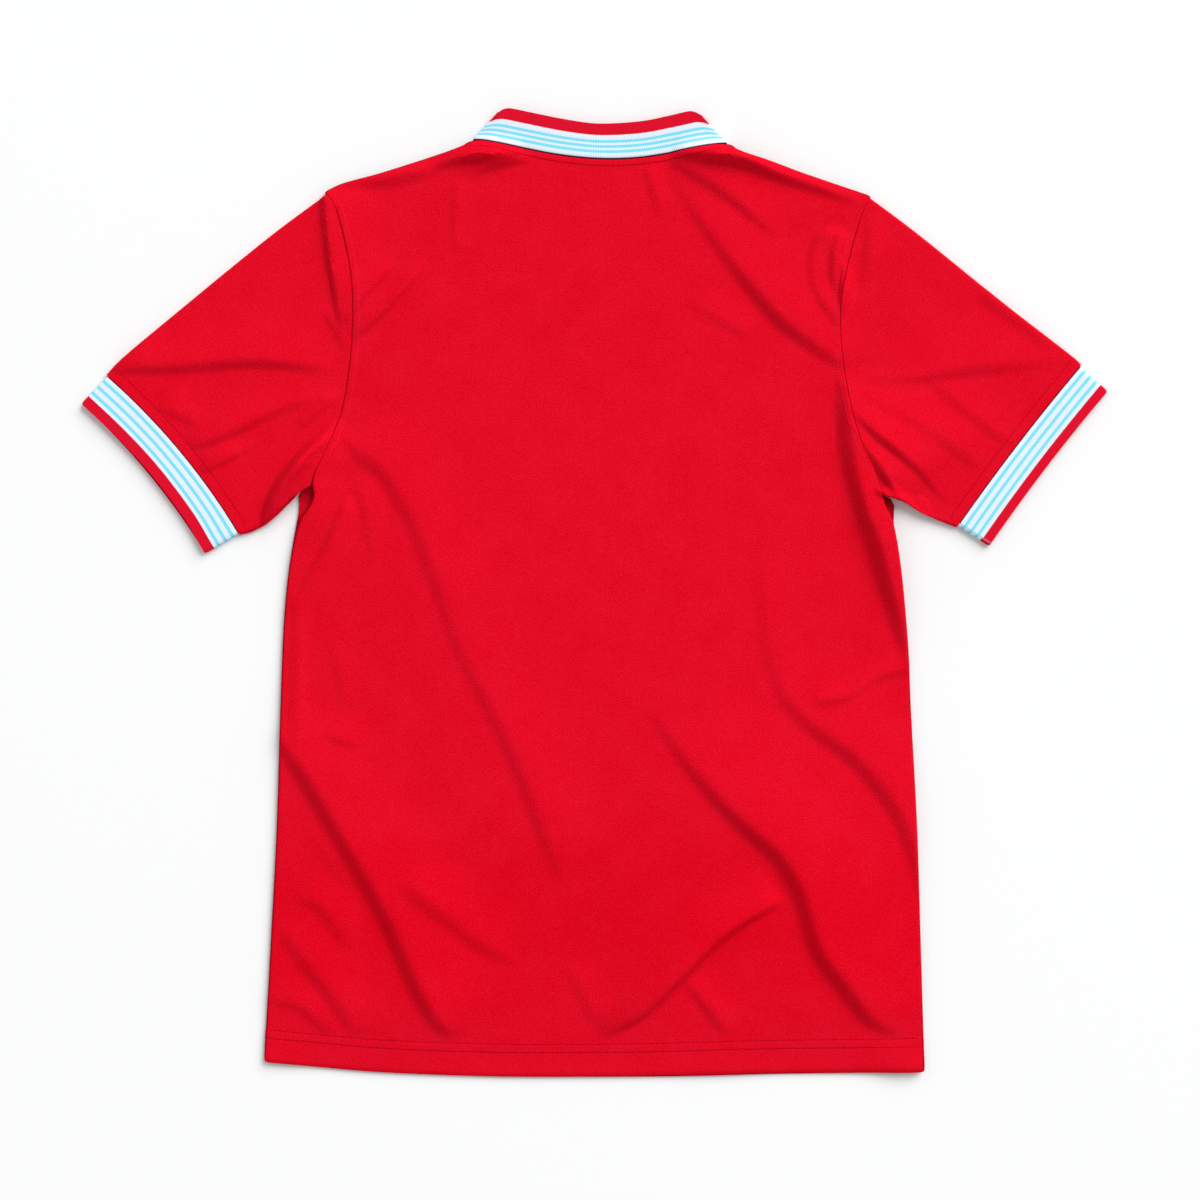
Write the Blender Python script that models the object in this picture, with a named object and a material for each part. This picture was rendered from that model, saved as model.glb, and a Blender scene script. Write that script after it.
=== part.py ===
"""A short-sleeved football jersey, laid flat with its back panel up.

Each piece of cloth is a thin wall of its own. The front panel lies on the surface and the back panel
lies on it. The sleeves, the cuffs and the collar are flattened tubes: their cloth runs over the top,
turns down at one side, comes back underneath and turns up at the other side.

Axes: +X to the wearer's right, +Y to the collar, +Z up. The origin is on the surface, under the
middle of the garment. Sizes are in millimetres until a mesh is made.
"""

from collections import namedtuple

import bmesh
import bpy
import numpy as np

MM = 0.001

# Cloth.
JERSEY_WALL = 1.2
RIB_WALL = 1.8
SEAM_GAP = 0.3

# Heights of the middle of the cloth.
LOWER_LEVEL = JERSEY_WALL / 2
UPPER_LEVEL = 4.6
SIDE_SEAM_HEIGHT = 2.6
COLLAR_TILT = 1.0

# Where the cloth turns over at a side, and the last straight bit of it before a side seam.
TURN = 2.0
STRAIGHT_AT_SEAM = 0.25
CORNER_TURN = 0.55

# The share of a panel's width over which its side edges bend the lines beside them.
EDGE_HOLD = 0.26

# Mesh steps: along a turn, along the last level cloth before a seam, along a curve between two of
# its points, and across and along each piece.
TURN_STEPS = 2
TURN_ANGLES = np.append(np.linspace(0, np.pi / 2, TURN_STEPS + 1), np.pi / 2)
FLAT_STEP = 1.1
CURVE_STEPS = 10
BOW_STEPS = 8
DROOP_STEPS = 16
SCOOP_STEPS = 14
NUDGE = 0.01
BACK_SIDE_ROWS = 27
BACK_SHOULDER_COLUMNS = 8
FRONT_SIDE_ROWS = 10
FRONT_SHOULDER_COLUMNS = 4
SLEEVE_COLUMNS = 15
SLEEVE_ROWS = 14
CUFF_COLUMNS = 15
CUFF_ROWS = 2
COLLAR_COLUMNS = 16
COLLAR_ROWS = 3

# Points of the outline, as X and Y.
SHOULDER_LEFT = (-215, 320)
SHOULDER_RIGHT = (220, 317)
NECK_LEFT = (-98, 360)
NECK_RIGHT = (107, 357)
COLLAR_CORNER_LEFT = (-76, 385.6)
COLLAR_CORNER_RIGHT = (85, 383.5)
ARMPIT_LEFT = (-233, 82)
ARMPIT_RIGHT = (230, 77)
SLEEVE_ARMPIT_LEFT = (-234.5, 82.8)
SLEEVE_ARMPIT_RIGHT = (231.5, 77.8)
COLLAR_FOLD_LEFT = (-98, 361)
COLLAR_FOLD_RIGHT = (107, 358)
FRONT_NECK_LEFT = (-98.4, 359.6)
FRONT_NECK_RIGHT = (107.4, 356.6)
HEM_LEFT = (-264, -375)
HEM_RIGHT = (263, -383)
SLEEVE_TOP_LEFT = (-390, 174)
SLEEVE_TOP_RIGHT = (389, 182)
SLEEVE_FOOT_LEFT = (-283, 46)
SLEEVE_FOOT_RIGHT = (289, 52)
CUFF_TOP_LEFT = (-410, 151)
CUFF_TOP_RIGHT = (410, 161)
CUFF_FOOT_LEFT = (-311, 31)
CUFF_FOOT_RIGHT = (315, 37)

# Shares of the way across at which the neck starts and ends.
NECK_START = (NECK_LEFT[0] - SHOULDER_LEFT[0]) / (SHOULDER_RIGHT[0] - SHOULDER_LEFT[0])
NECK_END = (NECK_RIGHT[0] - SHOULDER_LEFT[0]) / (SHOULDER_RIGHT[0] - SHOULDER_LEFT[0])

# Lines between those points: the points that they pass through on the way.
SIDE_LEFT_WAY = [(-264, -375), (-259, -286), (-254, -190), (-251, -94), (-248, -22), (-243, 26), (-236, 58)]
SIDE_RIGHT_WAY = [(263, -383), (260, -286), (257, -190), (252, -94), (250, -46), (246, 2), (241, 42),
                  (236, 62)]
HEM_WAY = [(-232, -378), (-168, -383), (-76, -386), (44, -387), (136, -385), (212, -384)]
SHOULDER_LEFT_WAY = [(-204, 327), (-168, 336), (-120, 352)]
SHOULDER_RIGHT_WAY = [(120, 352), (139, 346), (166, 336), (212, 320)]
NECK_BACK_WAY = [(-88, 361), (-60, 356), (-28, 350), (4, 347), (36, 348), (68, 353), (94, 357)]
COLLAR_BACK_WAY = [(-68, 387.6), (-44, 382), (-20, 377), (4, 374), (36, 376), (68, 382.5), (78, 385)]
ARMHOLE_LEFT_WAY = [(-221, 104), (-208, 128), (-200, 154), (-194, 200), (-194, 250), (-205, 302)]
ARMHOLE_RIGHT_WAY = [(224, 106), (215, 122), (204, 154), (197, 200), (198, 242), (211, 294)]
UNDERARM_LEFT_WAY = [(-244, 74), (-260, 58), (-272, 50)]
UNDERARM_RIGHT_WAY = [(248, 72), (262, 63), (276, 57)]
OVERARM_LEFT_WAY = [(-260, 285), (-330, 228), (-376, 189)]
OVERARM_RIGHT_WAY = [(261, 285), (332, 228), (380, 191)]

# How far a line bows from the straight, towards its left as it runs.
SLEEVE_END_BOW_LEFT = 6.5
SLEEVE_END_BOW_RIGHT = -2
CUFF_END_BOW_LEFT = 5.5
CUFF_END_BOW_RIGHT = -2

# The front is cut deeper than the back at the neck and a little deeper at the armholes.
NECK_DROP = 95
COLLAR_DROP = 90
ARMHOLE_SCOOP = 7
CUFF_STEP = 1.5

# A fold is a ridge. Its route is the line of its steep flank, and its crest is to the left of that
# line as the route runs. Height and widths are in millimetres, and rise and fade are the shares of
# the route over which it swells from nothing and sinks again.
Fold = namedtuple("Fold", "name height steep gentle rise fade route")

FOLDS = [
    Fold("left long diagonal", 5.0, 20, 42, 0.3, 0.4,
         [(-200, 122), (-156, 74), (-118, -6), (-84, -86), (-56, -158), (-28, -230)]),
    Fold("lower left", 7.0, 17, 30, 0.3, 0.1,
         [(-250, -118), (-220, -174), (-196, -210), (-173, -254), (-152, -294), (-128, -346), (-100, -392)]),
    Fold("lower left short", 3.0, 16, 22, 0.5, 0.1, [(-246, -270), (-220, -314), (-200, -346), (-186, -392)]),
    Fold("right curve", 6.0, 18, 34, 0.3, 0.25,
         [(132, 6), (134, -38), (144, -78), (164, -104), (204, -130), (232, -166), (254, -216)]),
    Fold("lower right", 8.0, 18, 40, 0.25, 0.1,
         [(46, -98), (76, -142), (100, -174), (140, -206), (164, -246), (176, -286), (204, -326), (246, -392)]),
    Fold("hem diagonal", 5.0, 18, 30, 0.1, 0.4, [(-14, -392), (14, -352), (44, -330), (84, -290), (140, -250)]),
    Fold("right side roll", 7.0, 17, 20, 0.3, 0.35,
         [(199, 158), (203, 114), (216, 66), (232, 10), (244, -50)]),
    Fold("upper right", 6.5, 18, 36, 0.3, 0.35,
         [(68, 322), (100, 274), (124, 238), (156, 206), (184, 186), (202, 172)]),
    Fold("neck right", 4.5, 15, 26, 0.3, 0.4, [(62, 346), (84, 326), (112, 310), (144, 288)]),
    Fold("shoulder right", 4.5, 14, 12, 0.25, 0.4, [(80, 346), (112, 344), (148, 331), (200, 314)]),
    Fold("left sleeve upper", 5.5, 16, 28, 0.35, 0.4, [(-388, 180), (-332, 178), (-276, 181), (-220, 178)]),
    Fold("left sleeve middle", 4.0, 16, 26, 0.4, 0.4, [(-316, 112), (-276, 130), (-244, 146), (-206, 156)]),
    Fold("left armpit", 5.5, 16, 20, 0.25, 0.5, [(-268, 60), (-256, 90), (-236, 114), (-206, 134)]),
    Fold("right sleeve upper", 4.5, 16, 28, 0.4, 0.3, [(222, 168), (284, 174), (324, 180), (384, 186)]),
    Fold("right sleeve middle", 4.5, 16, 22, 0.35, 0.35, [(216, 154), (268, 134), (318, 98)]),
    Fold("right armpit", 5.5, 15, 18, 0.3, 0.4, [(215, 132), (244, 110), (280, 80)]),
]


def smooth(x):
    x = np.clip(x, 0, 1)
    return x * x * (3 - 2 * x)


class Line:
    """A smooth line through points, read at shares of its length."""

    def __init__(self, points):
        knots = np.array(points, float)
        before = np.vstack([2 * knots[0] - knots[1], knots[:-1]])
        after = np.vstack([knots[1:], 2 * knots[-1] - knots[-2]])
        slopes = (after - before) / 2
        u = np.linspace(0, 1, CURVE_STEPS, endpoint=False)[:, None]
        runs = []
        for p, q, m, n in zip(knots[:-1], knots[1:], slopes[:-1], slopes[1:]):
            bend = (2 * u**3 - 3 * u**2 + 1) * p + (u**3 - 2 * u**2 + u) * m
            runs.append(bend + (3 * u**2 - 2 * u**3) * q + (u**3 - u**2) * n)
        self.points = np.vstack(runs + [knots[-1:]])
        self.steps = np.diff(self.points, axis=0)
        self.lengths = np.hypot(*self.steps.T)
        self.length = self.lengths.sum()
        self.shares = np.concatenate([[0], np.cumsum(self.lengths)]) / self.length

    def at(self, share):
        share = np.asarray(share, float)
        return np.stack([np.interp(share, self.shares, self.points[:, k]) for k in (0, 1)], axis=-1)


class Chain:
    """Lines end to end, read at one share. Each takes the stretch of shares up to its knot."""

    def __init__(self, lines, knots):
        self.lines = lines
        self.knots = [0.0] + knots + [1.0]

    def at(self, share):
        share = np.asarray(share, float)
        place = np.zeros(share.shape + (2,))
        for line, low, high in zip(self.lines, self.knots[:-1], self.knots[1:]):
            here = (share >= low) & (share <= high)
            place[here] = line.at((share[here] - low) / (high - low))
        return place


class Patch:
    """A panel's outline filled in: s runs across from left to right, t up from bottom to top.

    Lines run straight from the bottom to the top, and bend beside the left and right edges.
    """

    def __init__(self, bottom, top, left, right):
        self.bottom, self.top, self.left, self.right = bottom, top, left, right

    def at(self, s, t):
        s, t = np.broadcast_arrays(np.asarray(s, float), np.asarray(t, float))
        up = t[..., None]
        place = (1 - up) * self.bottom.at(s) + up * self.top.at(s)
        for edge, side in ((self.left, 0.0), (self.right, 1.0)):
            straight = (1 - up) * self.bottom.at(side) + up * self.top.at(side)
            near = 1 - smooth(np.abs(s - side) / EDGE_HOLD)[..., None]
            place = place + near * (edge.at(t) - straight)
        return place

    def stretch(self, s, t, along):
        """Millimetres that the patch covers for each unit of s or of t, near one of its edges."""
        inward = np.where(np.asarray(s if along == "s" else t) > 0.5, -NUDGE, NUDGE)
        moved = self.at(s + inward, t) if along == "s" else self.at(s, t + inward)
        return np.linalg.norm(moved - self.at(s, t), axis=-1) / NUDGE


def bowed(start, end, bow):
    """An arc from start to end whose middle stands off the straight line by bow."""
    start, end = np.array(start, float), np.array(end, float)
    across = np.array([start[1] - end[1], end[0] - start[0]])
    across /= np.linalg.norm(across)
    u = np.linspace(0, 1, BOW_STEPS + 1)[:, None]
    return Line(start + (end - start) * u + across * bow * 4 * u * (1 - u))


def drooping(start, end, drop):
    """A half ellipse that hangs from start to end, drop deep."""
    start, end = np.array(start, float), np.array(end, float)
    angle = np.linspace(0, np.pi, DROOP_STEPS + 1)[:, None]
    middle, half = (start + end) / 2, (end - start) / 2
    return Line(middle - half * np.cos(angle) - np.array([0, drop]) * np.sin(angle))


def scooped(line, scoop, side):
    """The line moved sideways, most in its middle, to cut the armhole deeper."""
    share = np.linspace(0, 1, SCOOP_STEPS + 1)
    points = line.at(share)
    points[:, 0] += side * scoop * np.sin(np.pi * share) ** 2
    return Line(points)


def fold_lift(places, fold):
    """How far one fold lifts the cloth at each of the places."""
    route = Line(fold.route)
    flat = places.reshape(-1, 1, 2)
    steps, lengths = route.steps[None], route.lengths[None]
    offset = flat - route.points[None, :-1]
    part = np.clip((offset * steps).sum(axis=2) / lengths**2, 0, 1)
    offset = offset - part[..., None] * steps
    distance = np.linalg.norm(offset, axis=2)
    nearest = distance.argmin(axis=1)
    row = np.arange(len(nearest))
    turn = steps[0, nearest, 0] * offset[row, nearest, 1] - steps[0, nearest, 1] * offset[row, nearest, 0]
    along = route.shares[nearest] + part[row, nearest] * lengths[0, nearest] / route.length
    from_crest = np.sign(turn) * distance[row, nearest] - fold.steep / 2
    width = np.where(from_crest < 0, fold.steep, fold.gentle)
    ridge = (1 + np.cos(np.pi * np.clip(np.abs(from_crest) / width, 0, 1))) / 2
    swell = smooth(along / fold.rise) * smooth((1 - along) / fold.fade)
    return (fold.height * ridge * swell).reshape(places.shape[:-1])


def upper_level(places):
    """Height of the middle of the upper layer of cloth."""
    return UPPER_LEVEL + sum(fold_lift(places, fold) for fold in FOLDS)


def lower_level(places):
    return np.full(places.shape[:-1], LOWER_LEVEL)


def edge_distances(wall, turned):
    """Distances from the outline of the last lines of cloth before an edge, innermost first.

    Where turned is 1 the cloth turns through a quarter circle and meets the seam upright. Where
    it is 0 the cloth stays level and ends at the seam beside it.
    """
    turned = np.asarray(turned, float)[..., None]
    round_way = wall / 2 + TURN * (1 - np.sin(TURN_ANGLES))
    level_way = SEAM_GAP / 2 + FLAT_STEP * np.arange(TURN_STEPS + 1, -1, -1)
    return turned * round_way + (1 - turned) * level_way


def edge_height(level, meets, line, turned):
    """Height of the cloth on one of those lines, between its own level and the seam."""
    last = line == TURN_STEPS + 1
    straight = np.where(last, 0, STRAIGHT_AT_SEAM) * np.sign(level - meets)
    upright = meets + straight + (level - meets - straight) * np.cos(TURN_ANGLES[line])
    return np.where(line > 0, turned * upright + (1 - turned) * level, level)


def panel_points(patch, rows, columns, row_turned, column_turned, level_of, meets):
    """Points of the middle of a body panel's cloth, a row for each step up the panel.

    The rows are shares of the way up its sides and the columns shares of the way across its top.
    """
    lines = np.arange(1, TURN_STEPS + 2)
    rows = np.concatenate([rows, np.ones(len(lines))])
    row_turned = np.concatenate([row_turned, np.zeros(len(lines))])
    row_line = np.concatenate([np.zeros(len(rows) - len(lines), int), lines])
    away = edge_distances(JERSEY_WALL, row_turned)
    left = away / patch.stretch(np.zeros(len(rows)), rows, "s")[:, None]
    right = 1 - away / patch.stretch(np.ones(len(rows)), rows, "s")[:, None]
    inside = left[:, :1] + (right[:, :1] - left[:, :1]) * columns
    s = np.hstack([left[:, :0:-1], inside, right[:, 1:]])
    column_line = np.concatenate([lines[::-1], np.zeros(len(columns), int), lines])
    column_turned = np.concatenate([np.full(len(lines), column_turned[0]), column_turned,
                                    np.full(len(lines), column_turned[-1])])
    reach = edge_distances(JERSEY_WALL, column_turned).T / patch.stretch(s[-1], np.ones(s.shape[1]), "t")
    t = np.where(row_line[:, None] > 0, 1 - reach[row_line], rows[:, None] * (1 - reach[0]))
    places = patch.at(s, t)
    level = level_of(places)
    height = edge_height(level, meets, column_line[None, :] + 0 * row_line[:, None], row_turned[:, None])
    height = edge_height(height, meets, row_line[:, None] + 0 * column_line[None, :], column_turned[None, :])
    return np.dstack([places, height])


def tube_points(upper, lower, rows, columns, level_of, wall):
    """Points of the middle of a flattened tube's cloth, a closed ring for each row."""
    floor = wall / 2
    over = upper.stretch(np.zeros(len(rows)), rows, "s")
    under = upper.stretch(np.ones(len(rows)), rows, "s")
    inner = wall / 2 + TURN
    ring = []
    for share in np.linspace(0, 1, columns + 1):
        ring.append((upper, inner / over + (1 - inner / over - inner / under) * share, 1.0))
    turn = np.pi * np.arange(1, 2 * TURN_STEPS) / (2 * TURN_STEPS)
    for angle in turn:
        away = wall / 2 + TURN * (1 - np.sin(angle))
        ring.append((upper if angle <= np.pi / 2 else lower, 1 - away / under, (1 + np.cos(angle)) / 2))
    for share in np.linspace(1, 0, columns + 1):
        ring.append((lower, inner / over + (1 - inner / over - inner / under) * share, 0.0))
    for angle in turn[::-1]:
        away = wall / 2 + TURN * (1 - np.sin(angle))
        ring.append((upper if angle <= np.pi / 2 else lower, away / over, (1 + np.cos(angle)) / 2))
    points = np.zeros((len(rows), len(ring), 3))
    for k, (patch, s, rise) in enumerate(ring):
        near = SEAM_GAP / 2 / patch.stretch(s, np.zeros(len(rows)), "t")
        far = SEAM_GAP / 2 / patch.stretch(s, np.ones(len(rows)), "t")
        places = patch.at(s, near + (1 - near - far) * rows)
        points[:, k, :2] = places
        points[:, k, 2] = floor + (level_of(places) - floor) * rise if rise else floor
    return points


def fabric(name, colour, roughness):
    material = bpy.data.materials.new(name)
    material.use_nodes = True
    shader = material.node_tree.nodes["Principled BSDF"]
    shader.inputs["Base Color"].default_value = colour
    shader.inputs["Roughness"].default_value = roughness
    shader.inputs["Metallic"].default_value = 0.0
    return material


def cloth_object(name, points, closed, wall, material, flip=False):
    """A named piece of cloth: a wall built on both sides of the grid of points."""
    mesh = bmesh.new()
    grid = [[mesh.verts.new(p * MM) for p in row] for row in points]
    count = len(grid[0])
    for low, high in zip(grid[:-1], grid[1:]):
        for k in range(count if closed else count - 1):
            after = (k + 1) % count
            corners = [low[k], low[after], high[after], high[k]]
            mesh.faces.new(corners[::-1] if flip else corners)
    data = bpy.data.meshes.new(name)
    mesh.to_mesh(data)
    mesh.free()
    data.materials.append(material)
    data.shade_smooth()
    piece = bpy.data.objects.new(name, data)
    bpy.context.collection.objects.link(piece)
    thickness = piece.modifiers.new("wall", "SOLIDIFY")
    thickness.thickness = wall * MM
    thickness.offset = 0.0
    return piece


def body_patch(neck, scoop):
    """A body panel's patch, and the share of its sides at which the armholes start."""
    neck_left, neck_right = neck.points[0], neck.points[-1]
    side_left = Line(SIDE_LEFT_WAY + [ARMPIT_LEFT])
    side_right = Line(SIDE_RIGHT_WAY + [ARMPIT_RIGHT])
    arm_left = scooped(Line([ARMPIT_LEFT] + ARMHOLE_LEFT_WAY + [SHOULDER_LEFT]), scoop, 1)
    arm_right = scooped(Line([ARMPIT_RIGHT] + ARMHOLE_RIGHT_WAY + [SHOULDER_RIGHT]), scoop, -1)
    shoulder_left = Line([SHOULDER_LEFT] + SHOULDER_LEFT_WAY + [neck_left])
    shoulder_right = Line([neck_right] + SHOULDER_RIGHT_WAY + [SHOULDER_RIGHT])
    hem = Line([HEM_LEFT] + HEM_WAY + [HEM_RIGHT])
    armpit = side_left.length / (side_left.length + arm_left.length)
    top = Chain([shoulder_left, neck, shoulder_right], [NECK_START, NECK_END])
    left = Chain([side_left, arm_left], [armpit])
    right = Chain([side_right, arm_right], [armpit])
    return Patch(hem, top, left, right), armpit


def seam_stations(length, columns, wall):
    """Shares of a seam at which both of the pieces that meet there have a line of points."""
    inner = (wall / 2 + TURN) / length
    return np.linspace(inner, 1 - inner, columns + 1)


def build_body(name, neck, scoop, level_of, meets, side_rows, shoulder_columns, material, flip):
    patch, armpit = body_patch(neck, scoop)
    armhole = Line([ARMPIT_LEFT] + ARMHOLE_LEFT_WAY + [SHOULDER_LEFT]).length
    stations = armpit + (1 - armpit) * seam_stations(armhole, SLEEVE_COLUMNS, JERSEY_WALL)
    rows = np.concatenate([np.linspace(0, armpit, side_rows + 1), stations]) / stations[-1]
    row_turned = np.concatenate([np.ones(side_rows), [CORNER_TURN], np.zeros(len(stations))])
    back_neck = Line([NECK_LEFT] + NECK_BACK_WAY + [NECK_RIGHT]).length
    neck_stations = seam_stations(back_neck, COLLAR_COLUMNS, RIB_WALL)
    columns = np.concatenate([np.linspace(0, NECK_START, shoulder_columns + 1),
                              NECK_START + (NECK_END - NECK_START) * neck_stations,
                              np.linspace(NECK_END, 1, shoulder_columns + 1)])
    turned = np.append(np.ones(shoulder_columns), CORNER_TURN)
    column_turned = np.concatenate([turned, np.zeros(len(neck_stations)), turned[::-1]])
    points = panel_points(patch, rows, columns, row_turned, column_turned, level_of, meets)
    return cloth_object(name, points, False, JERSEY_WALL, material, flip)


def build_back(material):
    neck = Line([NECK_LEFT] + NECK_BACK_WAY + [NECK_RIGHT])
    meets = SIDE_SEAM_HEIGHT + SEAM_GAP / 2
    return build_body("back", neck, 0, upper_level, meets, BACK_SIDE_ROWS, BACK_SHOULDER_COLUMNS,
                      material, False)


def build_front(material):
    neck = drooping(FRONT_NECK_LEFT, FRONT_NECK_RIGHT, NECK_DROP)
    meets = SIDE_SEAM_HEIGHT - SEAM_GAP / 2
    return build_body("front", neck, ARMHOLE_SCOOP, lower_level, meets, FRONT_SIDE_ROWS,
                      FRONT_SHOULDER_COLUMNS, material, True)


Arm = namedtuple("Arm", "side shoulder armpit armhole over under top foot end_bow cuff_top cuff_foot cuff_bow")

ARMS = [
    Arm("left", SHOULDER_LEFT, SLEEVE_ARMPIT_LEFT, ARMHOLE_LEFT_WAY, OVERARM_LEFT_WAY, UNDERARM_LEFT_WAY,
        SLEEVE_TOP_LEFT, SLEEVE_FOOT_LEFT, SLEEVE_END_BOW_LEFT,
        CUFF_TOP_LEFT, CUFF_FOOT_LEFT, CUFF_END_BOW_LEFT),
    Arm("right", SHOULDER_RIGHT, SLEEVE_ARMPIT_RIGHT, ARMHOLE_RIGHT_WAY, OVERARM_RIGHT_WAY, UNDERARM_RIGHT_WAY,
        SLEEVE_TOP_RIGHT, SLEEVE_FOOT_RIGHT, SLEEVE_END_BOW_RIGHT,
        CUFF_TOP_RIGHT, CUFF_FOOT_RIGHT, CUFF_END_BOW_RIGHT),
]


def build_sleeve(arm, material):
    scoop_side = 1 if arm.side == "left" else -1
    armhole = Line([arm.armpit] + arm.armhole + [arm.shoulder])
    lower_armhole = scooped(armhole, ARMHOLE_SCOOP, scoop_side)
    over = Line([arm.shoulder] + arm.over + [arm.top])
    under = Line([arm.armpit] + arm.under + [arm.foot])
    end = bowed(arm.top, arm.foot, arm.end_bow)
    upper = Patch(Line(armhole.points[::-1]), end, over, under)
    lower = Patch(Line(lower_armhole.points[::-1]), end, over, under)
    rows = np.linspace(0, 1, SLEEVE_ROWS + 1)
    points = tube_points(upper, lower, rows, SLEEVE_COLUMNS, upper_level, JERSEY_WALL)
    return cloth_object("sleeve_" + arm.side, points, True, JERSEY_WALL, material, arm.side == "right")


def build_cuff(arm, material):
    inset = CUFF_STEP / np.linalg.norm(np.subtract(arm.top, arm.foot))
    ends = bowed(arm.top, arm.foot, arm.end_bow).at(np.linspace(inset, 1 - inset, BOW_STEPS + 1))
    near = Line(ends)
    far = bowed(arm.cuff_top, arm.cuff_foot, arm.cuff_bow)
    over = Line([ends[0], arm.cuff_top])
    under = Line([ends[-1], arm.cuff_foot])
    patch = Patch(near, far, over, under)
    rows = np.linspace(0, 1, CUFF_ROWS + 1)
    points = tube_points(patch, patch, rows, CUFF_COLUMNS, upper_level, RIB_WALL)
    return cloth_object("cuff_" + arm.side, points, True, RIB_WALL, material, arm.side == "right")


def build_collar(material):
    fold_left = Line([COLLAR_FOLD_LEFT, COLLAR_CORNER_LEFT])
    fold_right = Line([COLLAR_FOLD_RIGHT, COLLAR_CORNER_RIGHT])
    back_seam = Line([COLLAR_FOLD_LEFT] + NECK_BACK_WAY + [COLLAR_FOLD_RIGHT])
    back_edge = Line([COLLAR_CORNER_LEFT] + COLLAR_BACK_WAY + [COLLAR_CORNER_RIGHT])
    seam_drop = NECK_DROP + COLLAR_FOLD_LEFT[1] - NECK_LEFT[1]
    front_seam = drooping(COLLAR_FOLD_LEFT, COLLAR_FOLD_RIGHT, seam_drop)
    front_edge = drooping(COLLAR_CORNER_LEFT, COLLAR_CORNER_RIGHT, COLLAR_DROP)
    upper = Patch(back_seam, back_edge, fold_left, fold_right)
    lower = Patch(front_seam, front_edge, fold_left, fold_right)
    rows = np.linspace(0, 1, COLLAR_ROWS + 1)

    def tilted(places):
        rise = np.clip((places[..., 1] - NECK_RIGHT[1]) / (COLLAR_CORNER_LEFT[1] - NECK_RIGHT[1]), 0, 1)
        return upper_level(places) + COLLAR_TILT * rise

    points = tube_points(upper, lower, rows, COLLAR_COLUMNS, tilted, RIB_WALL)
    return cloth_object("collar", points, True, RIB_WALL, material, False)


def main():
    for old in list(bpy.data.objects):
        bpy.data.objects.remove(old)
    red = fabric("red jersey", (0.76, 0.006, 0.022, 1.0), 0.75)
    rib = fabric("striped rib", (0.78, 0.90, 0.96, 1.0), 0.8)
    build_front(red)
    build_back(red)
    for arm in ARMS:
        build_sleeve(arm, red)
        build_cuff(arm, rib)
    build_collar(rib)


main()
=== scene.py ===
"""The looks of a short-sleeved football jersey that lies flat with its back panel up.

Every piece of cloth is a thin shell of its own: an outer and an inner skin with an edge between them. The
front panel lies on the floor and the back panel on it. The sleeves, the cuffs and the collar are flattened
tubes. Sizes are in millimetres until a mesh is made. +X is the wearer's right, +Y the collar and +Z up.
"""

from collections import namedtuple

import bmesh
import bpy
import numpy as np
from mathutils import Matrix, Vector, noise


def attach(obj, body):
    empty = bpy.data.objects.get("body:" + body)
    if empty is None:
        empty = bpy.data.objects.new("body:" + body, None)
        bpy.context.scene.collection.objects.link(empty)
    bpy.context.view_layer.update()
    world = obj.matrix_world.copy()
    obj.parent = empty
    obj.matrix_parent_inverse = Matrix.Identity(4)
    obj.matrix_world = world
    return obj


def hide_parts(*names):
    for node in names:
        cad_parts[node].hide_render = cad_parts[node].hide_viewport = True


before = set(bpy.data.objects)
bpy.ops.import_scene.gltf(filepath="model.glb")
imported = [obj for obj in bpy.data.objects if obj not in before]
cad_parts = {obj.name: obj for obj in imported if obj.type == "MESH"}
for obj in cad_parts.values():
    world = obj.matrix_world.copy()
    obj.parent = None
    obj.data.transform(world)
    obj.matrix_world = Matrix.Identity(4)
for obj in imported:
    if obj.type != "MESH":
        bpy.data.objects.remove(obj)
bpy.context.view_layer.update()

MM = 0.001

# ----------------------------------------------------------------------- sizes

JERSEY_WALL = 1.2
RIB_WALL = 1.8
SEAM_GAP = 0.3

# Heights of the middle of the cloth. A sleeve's points above the last are on its upper layer.
LOWER_LEVEL = JERSEY_WALL / 2
UPPER_LEVEL = 4.6
TOP_LAYER = 2
SIDE_SEAM_HEIGHT = 2.6
COLLAR_TILT = 1.0

# Where the cloth turns over at a side: the radius of the turn and its steps, how far the cloth stands upright
# at the seam, and over which length the turned side becomes a seam that lies flat.
TURN = 2.0
TURN_STEPS = 12
STRAIGHT_AT_SEAM = 0.25
CORNER = 9.0

# How round the corners of the hem and of the cuffs are. An edge's direction is taken over a share of it.
HEM_CORNER = 4.0
CUFF_CORNER = 3.5
CORNER_SHARE = 0.03

# Stitching: the length of one stitch with its gap, of its thread alone, the thread's radius, how many sides
# it has, and how far its middle lies above the cloth, as a share of its radius.
STITCH_PITCH = 2.3
STITCH_LENGTH = 1.3
THREAD_RADIUS = 0.27
THREAD_SIDES = 5
THREAD_LIFT = 0.6

# How deep the stitches sink into the cloth, and how far from a line's ends their rows start and stop.
STITCH_SINK = 0.1
UNDERSIDE_SINK = 0.35
HEM_FREE = 3
NECK_FREE = 6
SHOULDER_FREE = 4
BACK_ARMPIT_FREE = [24, 10]
FRONT_ARMPIT_FREE = [8, 8]

# The rows of stitches, by their distance from the edge. The hem is folded up and sewn with twin needles.
HEM_LOWER_STITCH = 19.3
HEM_UPPER_STITCH = 26.0
SEAM_STITCH = 5.1
CUFF_STITCH = 8.4

# Along a seam: where the end of its allowance shows past the last stitches, and the widths of the seam's own
# dip and dark line, and of the grooves and dark lines of its stitches.
ALLOWANCE_START = 0.4
ALLOWANCE_SLOPE = 1.8
SEAM_DIP_WIDTH = 0.8
SEAM_DARK_WIDTH = 0.45
GROOVE_WIDTH = 0.55
STITCH_DARK_WIDTH = 0.4

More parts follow.
